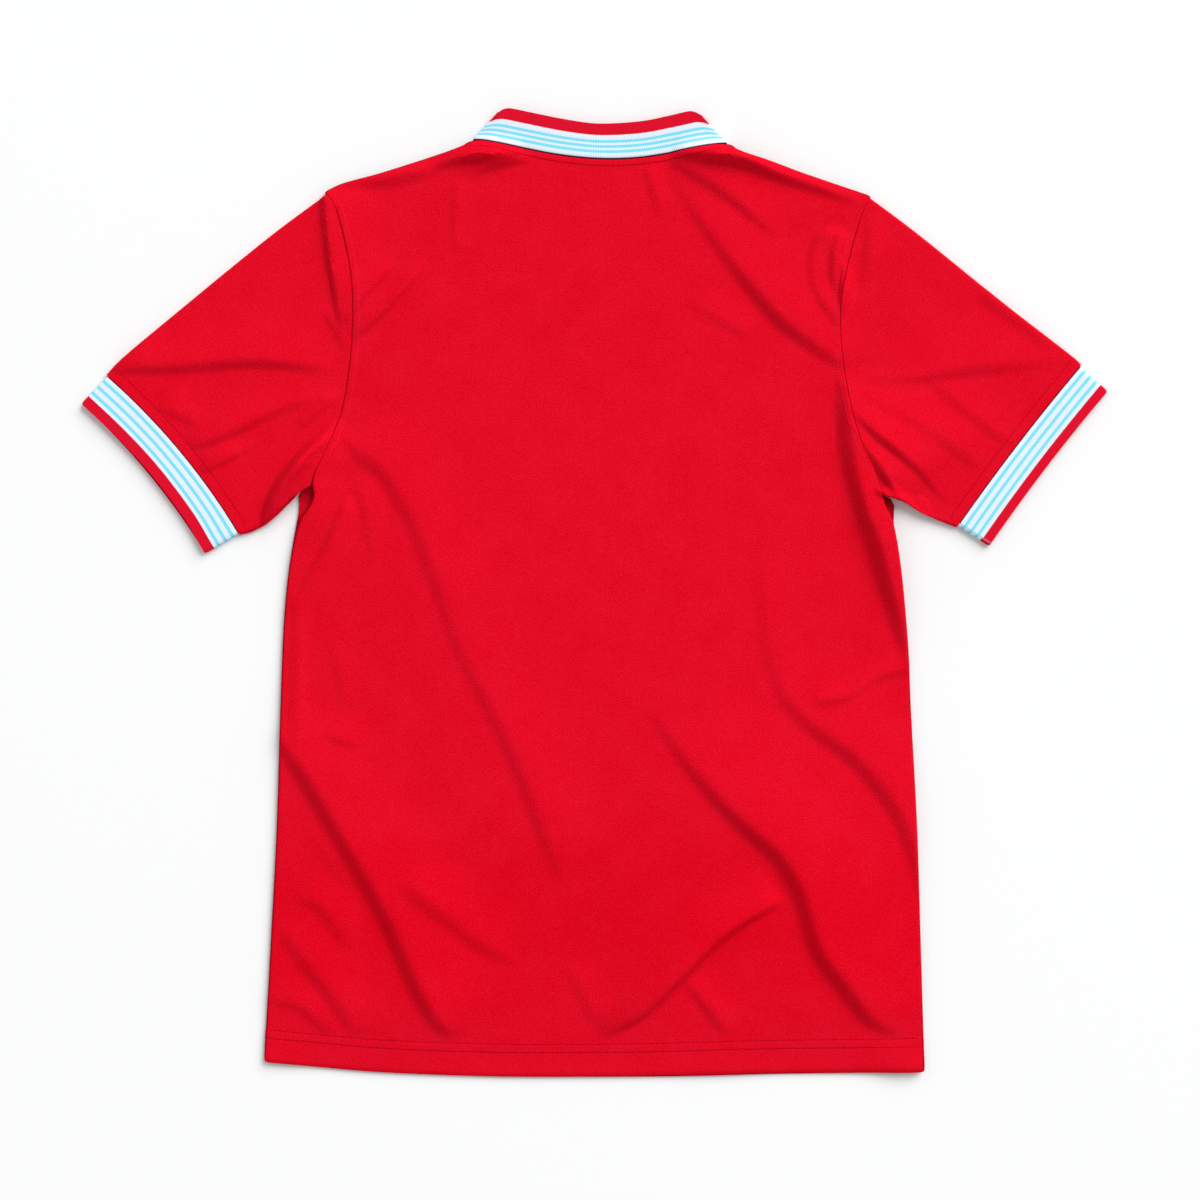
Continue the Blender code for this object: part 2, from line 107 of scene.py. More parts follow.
# The puckers along a row of stitches: how high they are, how far they spread, how large one is and how far
# from the row they end. Distances across the row count for less, so that a pucker is long that way.
PUCKER_HEIGHT = 0.11
PUCKER_WIDTH = 4.0
PUCKER_SIZE = 5.5
PUCKER_REACH = 14
PUCKER_ACROSS = 0.35

# How a rib band dips at its seam: how deep and how wide, and the width of the band itself.
CUFF_DIP = (0.45, 1.0, 31)
COLLAR_DIP = (0.9, 1.2, 27)

# The folds end over a short length above the hem, and round it the back sinks towards the front. The hem's
# edge curls up a little in places: how far up the panel that reaches, and where, how wide and how high it is.
HEM_FLAT = -362
FOLD_END = 16
HEM_SINK = 2.7
HEM_SLOPE = 60
HEM_SLOPE_SHARE = 0.4
HEM_EDGE = -385
HEM_CURL_DEPTH = 38
HEM_CURLS = [(-256, 22, 2.2), (250, 24, 4.2), (98, 40, 1.0)]

# How dark the painted shade is along the edges where the cloth turns over, which also tones down the edges
# that face the light, where that starts to fade and over what width, and how dark and how wide the painted
# shade is along the hem, where it rounds down away from the light.
EDGE_DARK = 0.78
EDGE_START = 0.6
EDGE_WIDE = 1.2
HEM_DARK = 0.42
HEM_WIDE = 2.3

# Where a sleeve's lower layer stands off the floor beside the armpit: where, how wide and how high.
SLEEVE_RISES = [(256, 66, 20, 6.0), (-258, 62, 15, 3.0)]

# Painted shade in the hollows at the armpits, where little light gets in: where, how wide and how dark.
ARMPIT_SHADOWS = [(234, 84, 9, 0.6), (226, 97, 7, 0.35), (-232, 88, 6, 0.3), (-254, 74, 8, 0.25)]

# How much higher the middle of the body lies than its edges, for the air that is left inside. It rises from
# the hem up and sinks again towards the shoulders and the sides: where each begins and over what length.
BODY_RISE = 3.5
RISE_FROM_HEM = (-350, 190)
SINK_TO_SHOULDERS = (-10, 220)
SINK_TO_SIDES = (80, 150)

# The faint unevenness of the cloth: how high, how large and with which seed.
BACK_WAVES = [(0.4, 90, 1), (0.08, 30, 2)]
FRONT_WAVES = (0.12, 50, 4)
BACK_SEED = 20
FRONT_SEED = 40
SLEEVE_SEED = 60

# Lines of points near an edge, by their distance from it, outermost first.
LEVEL_LINES = np.array([0.15, 0.4, 0.7, 1.1, 1.6, 2.1, 2.6])
TURN_ANGLES = np.radians([90, 90, 74, 56, 38, 19, 0])
STITCH_LINES = np.array([3.4, 4.2, 4.7, 5.1, 5.5, 6.0, 7.0, 8.6])
HEM_LINES = np.array([0.0, 0.4, 1.0, 2.0, 4.0, 7.5, 11.2, 14.8, 17.7, 18.6, 19.0, 19.3, 19.6, 20.1, 21.2,
                      23.2, 25.0, 25.7, 26.0, 26.3, 27.0, 28.4, 30.4])
CUFF_END_LINES = np.array([0.15, 0.4, 0.8, 1.3, 2.0, 3.2, 5.0, 6.8, 7.8, 8.2, 8.4, 8.7, 9.2, 10.4])
ARM_END_LINES = np.array([0.15, 0.4, 0.8, 1.3, 2.0, 3.0, 4.4])
RIB_LINES = np.array([0.15, 0.35, 0.7, 1.2, 1.9, 2.8])
RIB_EDGE_LINES = np.array([0.0, 0.4, 1.0, 1.8, 2.8])

# The steps between the other lines of points. Across a body panel they are a share of those up the panel. Its
# rows are first laid out between two shares of its height, to learn how wide it is at each, and that height
# is judged by a share near the hem.
BACK_STEP = 2.5
FRONT_STEP = 6.0
STEP_ACROSS = 0.85
ROUGH_START = 0.05
ROUGH_END = 0.985
NEAR_HEM = 0.02
SLEEVE_STEP = 2.0
CUFF_STEP = 2.4
COLLAR_STEP = 2.0
RIB_STEP = 2.2

# A mesh edge that turns more than this is sharp.
SHARP_ANGLE = np.radians(48)

# --------------------------------------------------------------------- outline

# Pairs are left and right.
SHOULDERS = [(-215.8, 319), (220.8, 315.9)]
NECK = [(-98, 360), (107, 357)]
FRONT_NECK = [(-98.4, 359.6), (107.4, 356.6)]
COLLAR_FOLDS = [(-98, 361), (107, 358)]
COLLAR_CORNERS = [(-78.6, 380.8), (86.2, 378.8)]
HEM_ENDS = [(-264, -375), (263.7, -383)]
BACK_HEM_RIGHT = (263.1, -381.8)

# The back is drawn in beside the armpits, so that the front's edge shows in the notch under the sleeve.
BACK_ARMPITS = [(-225, 84.6), (229.6, 76.4)]
FRONT_ARMPITS = [(-234.2, 82.4), (231.2, 77.4)]

# Lines between those points: the points that they pass through on the way.
SIDE_WAYS = [
    [(-259, -286), (-254, -190), (-251, -94), (-248, -22), (-243, 26)],
    [(260.8, -286), (257.8, -190), (252.8, -94), (250.8, -46), (246.6, 2), (242.2, 36)],
]
BACK_NOTCH_WAYS = [
    [(-235.5, 57), (-230.5, 64.5), (-226, 71.5), (-224.3, 78)],
    [(237.5, 58), (232, 69)],
]
FRONT_NOTCH_WAYS = [
    [(-238, 55), (-236.5, 63), (-236, 71), (-236.3, 78)],
    [(239.5, 52), (239, 60), (239.6, 68), (237.5, 74)],
]
ARMHOLE_WAYS = [
    [(-222.7, 96.8), (-218.8, 104.5), (-208, 128), (-200, 154), (-194, 200), (-194, 250), (-205, 302)],
    [(219.8, 106.5), (212, 121.5), (203.8, 152), (197, 200), (198, 242), (211, 294)],
]
SHOULDER_LEFT_WAY = [(-211, 322.4), (-206, 324.9), (-200, 327.2), (-190, 330), (-168, 336), (-120, 351.5)]
SHOULDER_RIGHT_WAY = [(120, 351.4), (139, 345.4), (166, 335.4), (200, 323.8), (211.5, 320), (216.5, 318.2)]
HEM_WAY = [(-232, -378), (-168, -383.5), (-76, -386.8), (44, -387), (136, -385), (212, -384)]
BACK_HEM_WAY = [(-232, -378), (-168, -383.5), (-76, -386.8), (10, -386.8), (60, -385.9), (136, -383.8),
                (212, -382.9)]
NECK_WAY = [(-88, 360.4), (-60, 355), (-28, 349), (4, 346), (36, 347), (68, 352), (94, 356.5)]
COLLAR_WAY = [(-74.6, 384.6), (-70, 386.2), (-64, 385.8), (-44, 381.6), (-20, 377), (4, 374.2), (36, 376),
              (60, 380.6), (74, 383.8), (79, 383.7), (83.2, 381.9)]

# Where along the top of a body panel the neck starts and ends, as shares of its width.
TOP_WIDTH = SHOULDERS[1][0] - SHOULDERS[0][0]
NECK_START = (NECK[0][0] - SHOULDERS[0][0]) / TOP_WIDTH
NECK_END = (NECK[1][0] - SHOULDERS[0][0]) / TOP_WIDTH

NECK_DROP = 95
COLLAR_DROP = 90
ARMHOLE_SCOOP = 7
CUFF_INSET = 1.5

# Over which shares of a cuff's end its upper layer draws back from the lower one, and comes out again.
PEEK_IN = 0.55
PEEK_OUT = 0.2

# A sleeve with its cuff. The upper layer has a lip at the armpit that reaches over the notch to the back's
# edge. A bow is how far a line stands off the straight, towards its left as it runs. At the cuff's end the
# upper layer stays back by peeks, so that the lower one shows. The red edge starts at a share of the cuff's
# width, and the ring is joined some way along it.
# over_dark: how wide the painted shade along the upper edge is, wider where the edge faces the light.
Arm = namedtuple("Arm", "side inward shoulder armpit lip armhole over under under_lower top foot bow "
                        "cuff_top cuff_foot cuff_bow over_dark peeks red_from join")

ARMS = [
    Arm("left", 1, shoulder=(-213.9, 318.3), armpit=(-234.5, 82.8),
        lip=[(-233.4, 84), (-229.4, 85.7), (-226.4, 84.9), (-225.3, 88.6)], armhole=ARMHOLE_WAYS[0],
        over=[(-259.5, 284.3), (-329.4, 227.3), (-375.6, 188.4)],
        under=[(-244, 74), (-260, 58), (-272, 50)],
        under_lower=[(-243, 72.6), (-258.8, 56.7), (-271.6, 49.2)],
        top=(-390, 174), foot=(-283, 46), bow=6.5, cuff_top=(-410, 151), cuff_foot=(-311, 31), cuff_bow=5.5,
        over_dark=EDGE_WIDE, peeks=1.7, red_from=0.72, join=20),
    Arm("right", -1, shoulder=(219.8, 315.4), armpit=(231.5, 77.8),
        lip=[(228, 79.4), (224.4, 90), (220.6, 100)], armhole=ARMHOLE_WAYS[1],
        over=[(260.6, 284.6), (331.5, 227.4), (379.6, 190.4)],
        under=[(248, 72), (262, 63), (276, 57)],
        under_lower=[(248, 72), (262, 63), (276, 57)],
        top=(389, 182), foot=(289, 52), bow=-2, cuff_top=(410, 161), cuff_foot=(315, 37), cuff_bow=-2,
        over_dark=2 * EDGE_WIDE, peeks=0, red_from=0.74, join=82.5),
]

# ----------------------------------------------------------------------- folds

# A fold is a ridge. Its route is the line of its steep flank, each point with the height that the ridge
# has there, and its crest is to the left of that line as the route runs. Steep and gentle are the widths of
# its flanks where it is highest.
Fold = namedtuple("Fold", "name steep gentle route")

# How sharply a fold turns over at its crest: 1 is round, less is sharper. The gentle flanks run out
# farther than their stated widths by a factor, and a fold narrows to this share where it is lowest.
CREST = 0.72
RUN_OUT = 1.35
NARROWEST = 0.7

FOLDS = [
    Fold("left long diagonal", 14, 46, [
        (-202, 127, 0), (-189, 108, 2.9), (-170, 93, 3.3), (-147, 54, 3.1), (-130, 11, 3), (-111, -42, 2.1),
        (-90, -84, 2.6), (-69, -126, 3.2), (-54, -163, 3.1), (-38, -205, 2.4), (-26, -234, 0)]),
    Fold("lower left", 15, 58, [
        (-260, -106, 0.8), (-248, -126, 4.4), (-232, -150, 7), (-218, -174, 7.2), (-193, -216, 7.4),
        (-167, -263, 7.4), (-146, -311, 7.2), (-132, -337, 6), (-121, -352, 3.6), (-110, -362, 0)]),
    Fold("lower left branch", 15, 34, [
        (-158, -233, 0), (-148, -240, 2.6), (-138, -248, 3.5), (-118, -263, 3.3), (-98, -279, 2.8),
        (-80, -290, 2.2), (-64, -299, 0)]),
    Fold("lower left short", 14, 30, [
        (-254, -262, 0), (-245, -280, 2), (-224, -308, 3.6), (-208, -329, 3.2), (-197, -346, 1.6),
        (-190, -360, 0)]),
    Fold("hem corner left", 10, 20, [
        (-260, -327, 0.6), (-248, -329, 1.9), (-233, -335, 2), (-218, -349, 1.3), (-208, -358, 0)]),
    Fold("left side low", 12, 20, [
        (-240, -245, 0), (-232, -248, 1.5), (-222, -252, 2.1), (-205, -274, 2), (-196, -288, 0)]),
    Fold("left side faint", 12, 22, [
        (-242, -182, 0), (-230, -196, 0.5), (-212, -218, 0.8), (-198, -238, 0)]),
    Fold("left side nick", 6, 24, [
        (-218, -113, 0), (-212, -116, 1.5), (-200, -120, 1.6), (-190, -123, 0.8), (-184, -125, 0)]),
    Fold("right curve", 15, 48, [
        (132, 32, 0), (132, 6, 0.9), (132, -20, 1.3), (139, -57, 1.7), (149, -84, 2.5), (170, -107, 3.7),
        (200, -129, 4.8), (223, -153, 5.2), (240, -177, 5), (251, -204, 4.2), (257, -226, 2.6),
        (260, -244, 0)]),
    Fold("lower right", 15, 80, [
        (40, -90, 0), (50, -104, 1.4), (68, -131, 3), (94, -163, 5.2), (120, -189, 7), (146, -213, 8.8),
        (163, -242, 8.8), (173, -277, 8.8), (184, -298, 8.8), (195, -312, 8.6), (214, -337, 6.8),
        (226, -347, 4), (238, -356, 1.4), (246, -361, 0)]),
    Fold("hem diagonal", 8, 34, [
        (8, -358, 0), (18, -350, 3), (41, -336, 7.2), (73, -305, 9.6), (99, -279, 8.8), (120, -264, 7),
        (141, -252, 4.2), (152, -246, 0)]),
    Fold("hem diagonal branch", 8, 18, [
        (70, -310, 0), (76, -317, 1.6), (88, -332, 2.5), (98, -345, 2.2), (107, -356, 0)]),
    Fold("hem middle", 10, 18, [(-24, -296, 0), (-17, -310, 1.2), (-8, -330, 1.2), (-2, -344, 0)]),
    Fold("right side crease", 8, 14, [
        (172, -89, 0), (183, -89, 2.2), (205, -84, 2.4), (226, -70, 2), (247, -64, 2.1), (260, -63, 1.2)]),
    Fold("right side roll", 15, 48, [
        (194, 178, 0), (196, 160, 4.4), (198, 135, 8.4), (201, 110, 10), (206, 88, 8.6), (213, 62, 4.2),
        (219, 46, 0)]),
    Fold("upper right", 13, 46, [
        (58, 336, 0), (68, 318, 1), (83, 296, 2.3), (104, 267, 3.4), (129, 236, 5.2), (142, 221, 5.8),
        (155, 209, 5.4), (183, 189, 3.6), (196, 181, 1.8), (206, 175, 0)]),
    Fold("neck right", 10, 34, [
        (57, 346, 0), (67, 340, 3.4), (88, 327, 3.9), (108, 313, 3.5), (133, 293, 1.6), (147, 283, 0)]),
    Fold("neck right faint", 7, 12, [(38, 340, 0), (42, 331, 1.6), (48, 311, 1.3), (51, 300, 0)]),
    Fold("upper right faint", 9, 22, [
        (70, 234, 0), (80, 227, 0.9), (98, 216, 1.3), (113, 208, 1.1), (124, 201, 0)]),
    Fold("shoulder right", 9, 12, [
        (62, 347.5, 0), (76, 346.4, 6.4), (92, 345.2, 11.6), (113, 343, 11.2), (128, 338.4, 9),
        (142, 332.5, 7), (158, 327, 5.2), (175, 321.5, 3.8), (200, 313, 1.8), (212, 308, 0)]),
    Fold("neck left", 7, 14, [
        (-132, 336.5, 0), (-122, 340, 2.6), (-106, 344, 7), (-92, 345.5, 9.6), (-80, 346, 9.8),
        (-66, 348, 4.8), (-56, 349, 0)]),
    Fold("neck left lower", 5.5, 9, [
        (-104, 332, 0), (-93, 336, 1.6), (-79, 340, 5.2), (-64, 343, 4.2), (-50, 345, 0)]),
    Fold("shoulder left", 11, 12, [
        (-198, 320, 0), (-186, 324, 1.4), (-166, 326, 3.2), (-141, 331.5, 3.6), (-124, 337, 0.6)]),
    Fold("upper left upright", 8, 14, [(-113, 332, 0), (-113, 321, 1.2), (-113, 282, 1), (-112, 268, 0)]),
    Fold("upper left faint", 5, 14, [
        (-190, 200, 0), (-183, 209, 2.8), (-164, 227, 3.4), (-144, 249, 2.4), (-132, 262, 0)]),
    Fold("upper left second", 4.5, 12, [
        (-198, 214, 0), (-193, 222, 2.2), (-178, 241, 2.8), (-166, 254, 2.2), (-156, 264, 0)]),
    Fold("armhole right loop", 8, 28, [
        (200, 288, 0.4), (188, 290, 2.7), (178, 284, 2.6), (172, 268, 1.8), (174, 244, 1.6), (186, 223, 2.2),
        (195, 211, 0)]),
    Fold("armhole right short", 6, 18, [
        (195, 291, 0), (192, 282, 2.6), (189, 264, 3.8), (189, 250, 2.9), (192, 236, 0)]),
    Fold("armhole right inner", 5, 10, [(198, 264, 0), (197, 250, 3.2), (196, 238, 4), (196, 220, 0)]),
    Fold("left flank upper", 8, 13, [
        (-198, 78, 0), (-204, 62, 3.4), (-217, 35, 1.9), (-232, 8, 1), (-240, -4, 0)]),
    Fold("left flank lower", 7, 10, [
        (-208, 50, 0), (-212, 40, 1.3), (-224, 18, 1.6), (-237, -4, 0.9), (-244, -14, 0)]),
    Fold("left flank upright", 9, 16, [
        (-192, 94, 0), (-189, 76, 1.5), (-182, 50, 0.9), (-179, 24, 0.4), (-177, 6, 0)]),
    Fold("left flank faint", 10, 16, [(-212, -30, 0), (-208, -57, 0.9), (-203, -84, 0.8), (-200, -96, 0)]),
    Fold("left flank long", 10, 9, [
        (-243, 4, 0), (-241, -15, 1.2), (-241, -60, 1.3), (-241, -106, 1.2), (-240, -124, 0)]),
    Fold("left sleeve upper", 10, 36, [
        (-386, 176, 0.4), (-366, 177, 3.6), (-340, 177.5, 4.1), (-304, 180, 4.4), (-276, 182, 4.4),
        (-252, 181, 3.7), (-233, 179, 2.6), (-208, 177, 0)]),
    Fold("left sleeve middle", 9, 24, [
        (-322, 113, 0), (-311, 117.5, 2.6), (-287, 127, 4), (-258, 141, 2.6), (-233, 150, 1.6),
        (-220, 154, 0)]),
    Fold("left sleeve inner", 5, 12, [(-234, 130, 0), (-228, 136, 1.1), (-212, 150, 2.2), (-203, 158, 0)]),
    Fold("left sleeve low", 6, 20, [
        (-315, 96, 0), (-307, 98, 1.8), (-291, 106, 2.9), (-276, 114, 0.8), (-270, 117, 0)]),
    Fold("left sleeve cuff low", 8, 18, [
        (-350, 148, 0), (-342, 144, 1.5), (-326, 137, 1.4), (-314, 132, 0)]),
    Fold("left sleeve shoulder", 4.8, 42, [
        (-218, 322, 2.2), (-217, 311, 5.6), (-216, 298, 6.2), (-212, 265, 6.2), (-208, 240, 5.2),
        (-205, 222, 3), (-202, 206, 0)]),
    Fold("left sleeve seam", 7, 14, [(-218, 226, 0), (-213, 218, 1.4), (-205, 204, 1.6), (-200, 192, 0)]),
    Fold("left armpit", 8, 30, [
        (-203, 140, 0.6), (-213, 131, 5), (-222, 122.5, 9.4), (-233, 112, 12.8), (-243, 100.5, 13.4),
        (-250.5, 90.5, 11.8), (-257, 80, 9.4), (-262, 68.5, 6.6), (-264.5, 57, 3.6), (-265, 48, 1.2)]),
    Fold("left armpit crease", 5, 5, [
        (-204, 133, 0), (-214, 124, 1.6), (-226, 114, 2.2), (-238, 101, 2.6), (-248, 86.5, 2.6),
        (-256, 72, 2.2), (-260, 58, 0.8)]),
    Fold("left armpit dimple", 5, 7, [(-240, 93, 0), (-234, 97, 0.8), (-228, 100, 0.8), (-222, 103, 0)]),
    Fold("right sleeve upper", 11, 40, [
        (206, 168, 0), (237, 168, 1.8), (262, 169.5, 2.9), (287, 174, 3.8), (321, 178, 2.7), (354, 181, 1.1),
        (380, 184, 0)]),
    Fold("right sleeve middle", 12, 30, [
        (212, 160, 0), (220, 153, 1.2), (250, 137, 1.4), (275, 121, 1.7), (297, 105, 1.4), (309, 96, 0)]),
    Fold("right sleeve branch", 10, 24, [
        (262, 169, 0), (273, 161, 1.2), (298, 141, 1.6), (322, 123, 1.2), (334, 115, 0)]),
    Fold("right armpit", 8, 70, [
        (203, 144, 0), (214, 134, 3.2), (226, 122.5, 5.2), (237, 114, 5.4), (258, 96, 3.2), (270, 83, 1.6),
        (284, 69, 0)]),
    Fold("right armpit hollow", 7.5, 80, [
        (211, 121, 0.4), (217.5, 111, 2.8), (224.5, 100.5, 5.2), (230.5, 91.5, 6.2), (236.5, 82.5, 5),
        (242, 74.5, 2.2), (246, 69, 0)]),
    Fold("right armpit nose", 5.5, 8, [
        (222, 81, 0), (229, 77, 4.2), (237, 73.5, 6), (248, 68, 4.6), (260, 60, 2.8), (272, 53, 1.4),
        (284, 48, 0)]),
    Fold("right sleeve shoulder", 8, 14, [(219, 300, 0), (218, 288, 1.6), (215, 266, 1.9), (210, 244, 0)]),
    Fold("right sleeve faint", 11, 16, [(302, 241, 0), (316, 229, 1.5), (352, 202, 1.4), (364, 194, 0)]),
]

# Rolls that only the back has, so high at the side seam that its edge stands upright there.
SIDE_ROLLS = [
    Fold("right side roll lower", 15, 95, [
        (202, 102, 0), (206, 88, 2.4), (213, 62, 8.2), (220, 44, 12.2), (226, 24, 12.2), (233, 0, 9.8),
        (240, -24, 6.4), (247, -48, 2.6), (251, -68, 0)]),
    Fold("left armpit roll", 6, 34, [
        (-222, 100, 0), (-225.5, 90, 0.6), (-225, 80, 1.8), (-227, 71, 2.6), (-232, 61, 2.4),
        (-238, 50, 1.2), (-243, 38, 0)]),
]

# Creases of the front panel, which lies face down: each lifts it a little off the floor.
UNDER_FOLDS = [
    Fold("front long", 16, 30, [
        (-150, 210, 0), (-120, 165, 1.1), (-80, 70, 1.3), (-55, 0, 1), (-40, -90, 0)]),
    Fold("front left", 14, 26, [(-226, -60, 0), (-196, -122, 1), (-164, -190, 1.1), (-150, -230, 0)]),
    Fold("front hem", 14, 24, [(44, -344, 0), (76, -290, 1), (116, -255, 1.2), (150, -226, 0)]),
    Fold("front right", 16, 26, [
        (60, 60, 0), (96, -10, 1.1), (140, -60, 1.3), (190, -112, 1.2), (220, -150, 0)]),
    Fold("front neck", 12, 18, [(60, 240, 0), (90, 215, 1), (125, 192, 0.8), (150, 176, 0)]),
    Fold("front neck left", 12, 18, [(-70, 250, 0), (-92, 232, 0.9), (-120, 214, 0)]),
    Fold("front lower", 14, 22, [(-60, -200, 0), (-44, -240, 1), (-22, -290, 0.9), (-8, -330, 0)]),
    Fold("front armpit", 12, 16, [(206, 108, 0), (188, 74, 1), (174, 40, 0.8), (170, 20, 0)]),
]

# ------------------------------------------------------------ curves and waves


# How many points the lines have that are worked out here.
ARC_POINTS = 9
ELLIPSE_POINTS = 33
SCOOP_POINTS = 29
ROW_POINTS = 60
CUFF_POINTS = 17


def smooth(x):
    x = np.clip(x, 0, 1)
    return x * x * (3 - 2 * x)


def bell(x):
    return np.exp(-x * x)


def spot(places, x, y, wide):
    """1 at the point (x, y), and less the farther from it."""
    return bell(np.hypot(places[..., 0] - x, places[..., 1] - y) / wide)


class Line:
    """A smooth line through points, read at shares of its length. A point may carry a height as well."""

    def __init__(self, points, steps=10):
        knots = np.array(points, float)
        before = np.vstack([2 * knots[0] - knots[1], knots[:-1]])
        after = np.vstack([knots[1:], 2 * knots[-1] - knots[-2]])
        slopes = (after - before) / 2
        u = np.linspace(0, 1, steps, endpoint=False)[:, None]
        runs = []
        for p, q, m, n in zip(knots[:-1], knots[1:], slopes[:-1], slopes[1:]):
            bend = (2 * u**3 - 3 * u**2 + 1) * p + (u**3 - 2 * u**2 + u) * m
            runs.append(bend + (3 * u**2 - 2 * u**3) * q + (u**3 - u**2) * n)
        self.points = np.vstack(runs + [knots[-1:]])
        self.steps = np.diff(self.points, axis=0)
        self.lengths = np.hypot(*self.steps.T[:2])
        self.length = self.lengths.sum()
        self.shares = np.concatenate([[0], np.cumsum(self.lengths)]) / self.length

    def at(self, share):
        share = np.asarray(share, float)
        return np.stack([np.interp(share, self.shares, values) for values in self.points.T], axis=-1)

    def beside(self, places):
        """For each place, how far it is to the left of the line, and the share of the line beside it."""
        nearest = np.full(len(places), np.inf)
        left = np.zeros(len(places))
        along = np.zeros(len(places))
        pieces = zip(self.points[:, :2], self.steps[:, :2], self.lengths, self.shares)
        for start, step, length, share in pieces:
            offset = places - start
            part = np.clip(offset @ step / length**2, 0, 1)
            distance = np.hypot(*(offset - part[:, None] * step).T)
            closer = distance < nearest
            turn = step[0] * offset[:, 1] - step[1] * offset[:, 0]
            left = np.where(closer, np.sign(turn) * distance, left)
            along = np.where(closer, share + part * length / self.length, along)
            nearest = np.minimum(nearest, distance)
        return left, along

    def shifted(self, distance, start, end):
        """The line moved to its left by distance, from start to end millimetres along it."""
        share = np.linspace(start / self.length, 1 - end / self.length, ROW_POINTS)
        points = self.at(share)
        slope = np.gradient(points, axis=0)
        slope /= np.linalg.norm(slope, axis=1)[:, None]
        return Line(points + distance * np.stack([-slope[:, 1], slope[:, 0]], axis=1), 2)


class Chain:
    """Lines end to end, read at one share. Each takes the stretch of shares up to its knot."""

    def __init__(self, lines, knots):
        self.lines = lines
        self.knots = [0.0] + knots + [1.0]

    def at(self, share):
        share = np.asarray(share, float)
        place = np.zeros(share.shape + (2,))
        for line, low, high in zip(self.lines, self.knots[:-1], self.knots[1:]):
            here = (share >= low) & (share <= high)
            place[here] = line.at((share[here] - low) / (high - low))
        return place


class Patch:
    """A panel's outline filled in: s runs across from left to right, t up from bottom to top."""

    HOLD = 0.26
    NUDGE = 0.01

    def __init__(self, bottom, top, left, right):
        self.bottom, self.top, self.left, self.right = bottom, top, left, right

    def at(self, s, t):
        s, t = np.broadcast_arrays(np.asarray(s, float), np.asarray(t, float))
        up = t[..., None]
        place = (1 - up) * self.bottom.at(s) + up * self.top.at(s)
        for edge, side in ((self.left, 0.0), (self.right, 1.0)):
            straight = (1 - up) * self.bottom.at(side) + up * self.top.at(side)
            near = 1 - smooth(np.abs(s - side) / self.HOLD)[..., None]
            place = place + near * (edge.at(t) - straight)
        return place

    def stretch(self, s, t, along):
        """Millimetres that the patch covers for each unit of s or of t, near one of its edges."""
        inward = np.where(np.asarray(s if along == "s" else t) > 0.5, -self.NUDGE, self.NUDGE)
        moved = self.at(s + inward, t) if along == "s" else self.at(s, t + inward)
        return np.linalg.norm(moved - self.at(s, t), axis=-1) / self.NUDGE


def bowed(start, end, bow):
    """An arc from start to end whose middle stands off the straight line by bow."""
    start, end = np.array(start, float), np.array(end, float)
    across = np.array([start[1] - end[1], end[0] - start[0]])
    across /= np.linalg.norm(across)
    u = np.linspace(0, 1, ARC_POINTS)[:, None]
    return Line(start + (end - start) * u + across * bow * 4 * u * (1 - u))


def drooping(start, end, drop):
    """A half ellipse that hangs from start to end, drop deep."""
    start, end = np.array(start, float), np.array(end, float)
    angle = np.linspace(0, np.pi, ELLIPSE_POINTS)[:, None]
    middle, half = (start + end) / 2, (end - start) / 2
    return Line(middle - half * np.cos(angle) - np.array([0, drop]) * np.sin(angle), 4)


def scooped(line, scoop, side):
    """The line moved sideways, most in its middle, to cut the armhole deeper."""
    share = np.linspace(0, 1, SCOOP_POINTS)
    points = line.at(share)
    points[:, 0] += side * scoop * np.sin(np.pi * share) ** 2
    return Line(points, 4)


def round_corners(places, patch, corners, radius):
    """Draws the places near the patch's corners in, so that the corners are round."""
    for s, t in corners:
        corner = patch.at(s, t)
        beside = patch.at(abs(s - CORNER_SHARE), t), patch.at(s, abs(t - CORNER_SHARE))
        edges = np.stack(beside) - corner
        edges *= radius / np.linalg.norm(edges, axis=1)[:, None]
        out = 1 - (places - corner) @ np.linalg.inv(edges)
        u, v = np.clip(out[..., 0], 0, 1), np.clip(out[..., 1], 0, 1)
        drawn = np.stack([u * np.sqrt(1 - v * v / 2), v * np.sqrt(1 - u * u / 2)], axis=-1)
        near = (out > 0).all(axis=-1)[..., None]
        places = np.where(near, corner + (1 - drawn) @ edges, places)
    return places


def waves(places, size, seed):
    """Soft random waves of about the given size, between -1 and 1."""
    flat = places.reshape(-1, 2) / size
    values = [noise.noise(Vector((x, y, seed))) for x, y in flat]
    return 2 * np.array(values).reshape(places.shape[:-1])


# -------------------------------------------------------------- how cloth lies


def fold_lift(places, fold):
    """How far one fold lifts the cloth at each of the places. It narrows where it sinks."""
    route = Line(fold.route)
    gentle_width = fold.gentle * RUN_OUT
    reach = fold.steep + gentle_width
    low, high = route.points[:, :2].min(axis=0) - reach, route.points[:, :2].max(axis=0) + reach
    flat = places.reshape(-1, 2)
    here = ((flat > low) & (flat < high)).all(axis=1)
    left, along = route.beside(flat[here])
    height = np.maximum(np.interp(along, route.shares, route.points[:, 2]), 0)
    narrow = NARROWEST + (1 - NARROWEST) * height / route.points[:, 2].max()
    from_crest = left - narrow * fold.steep / 2
    steep = np.clip(-from_crest / (fold.steep * narrow), 0, 1)
    gentle = np.clip(from_crest / (gentle_width * narrow), 0, 1) ** CREST
    lift = np.zeros(len(flat))
    lift[here] = height * (1 + np.cos(np.pi * np.where(from_crest < 0, steep, gentle))) / 2
    return lift.reshape(places.shape[:-1])


def body_rise(places):
    """How much the body's middle lies above its edges."""
    rises = smooth((places[..., 1] - RISE_FROM_HEM[0]) / RISE_FROM_HEM[1])
    sinks = smooth((places[..., 1] - SINK_TO_SHOULDERS[0]) / SINK_TO_SHOULDERS[1])
    aside = smooth((np.abs(places[..., 0]) - SINK_TO_SIDES[0]) / SINK_TO_SIDES[1])
    return BODY_RISE * rises * (1 - sinks) * (1 - aside)


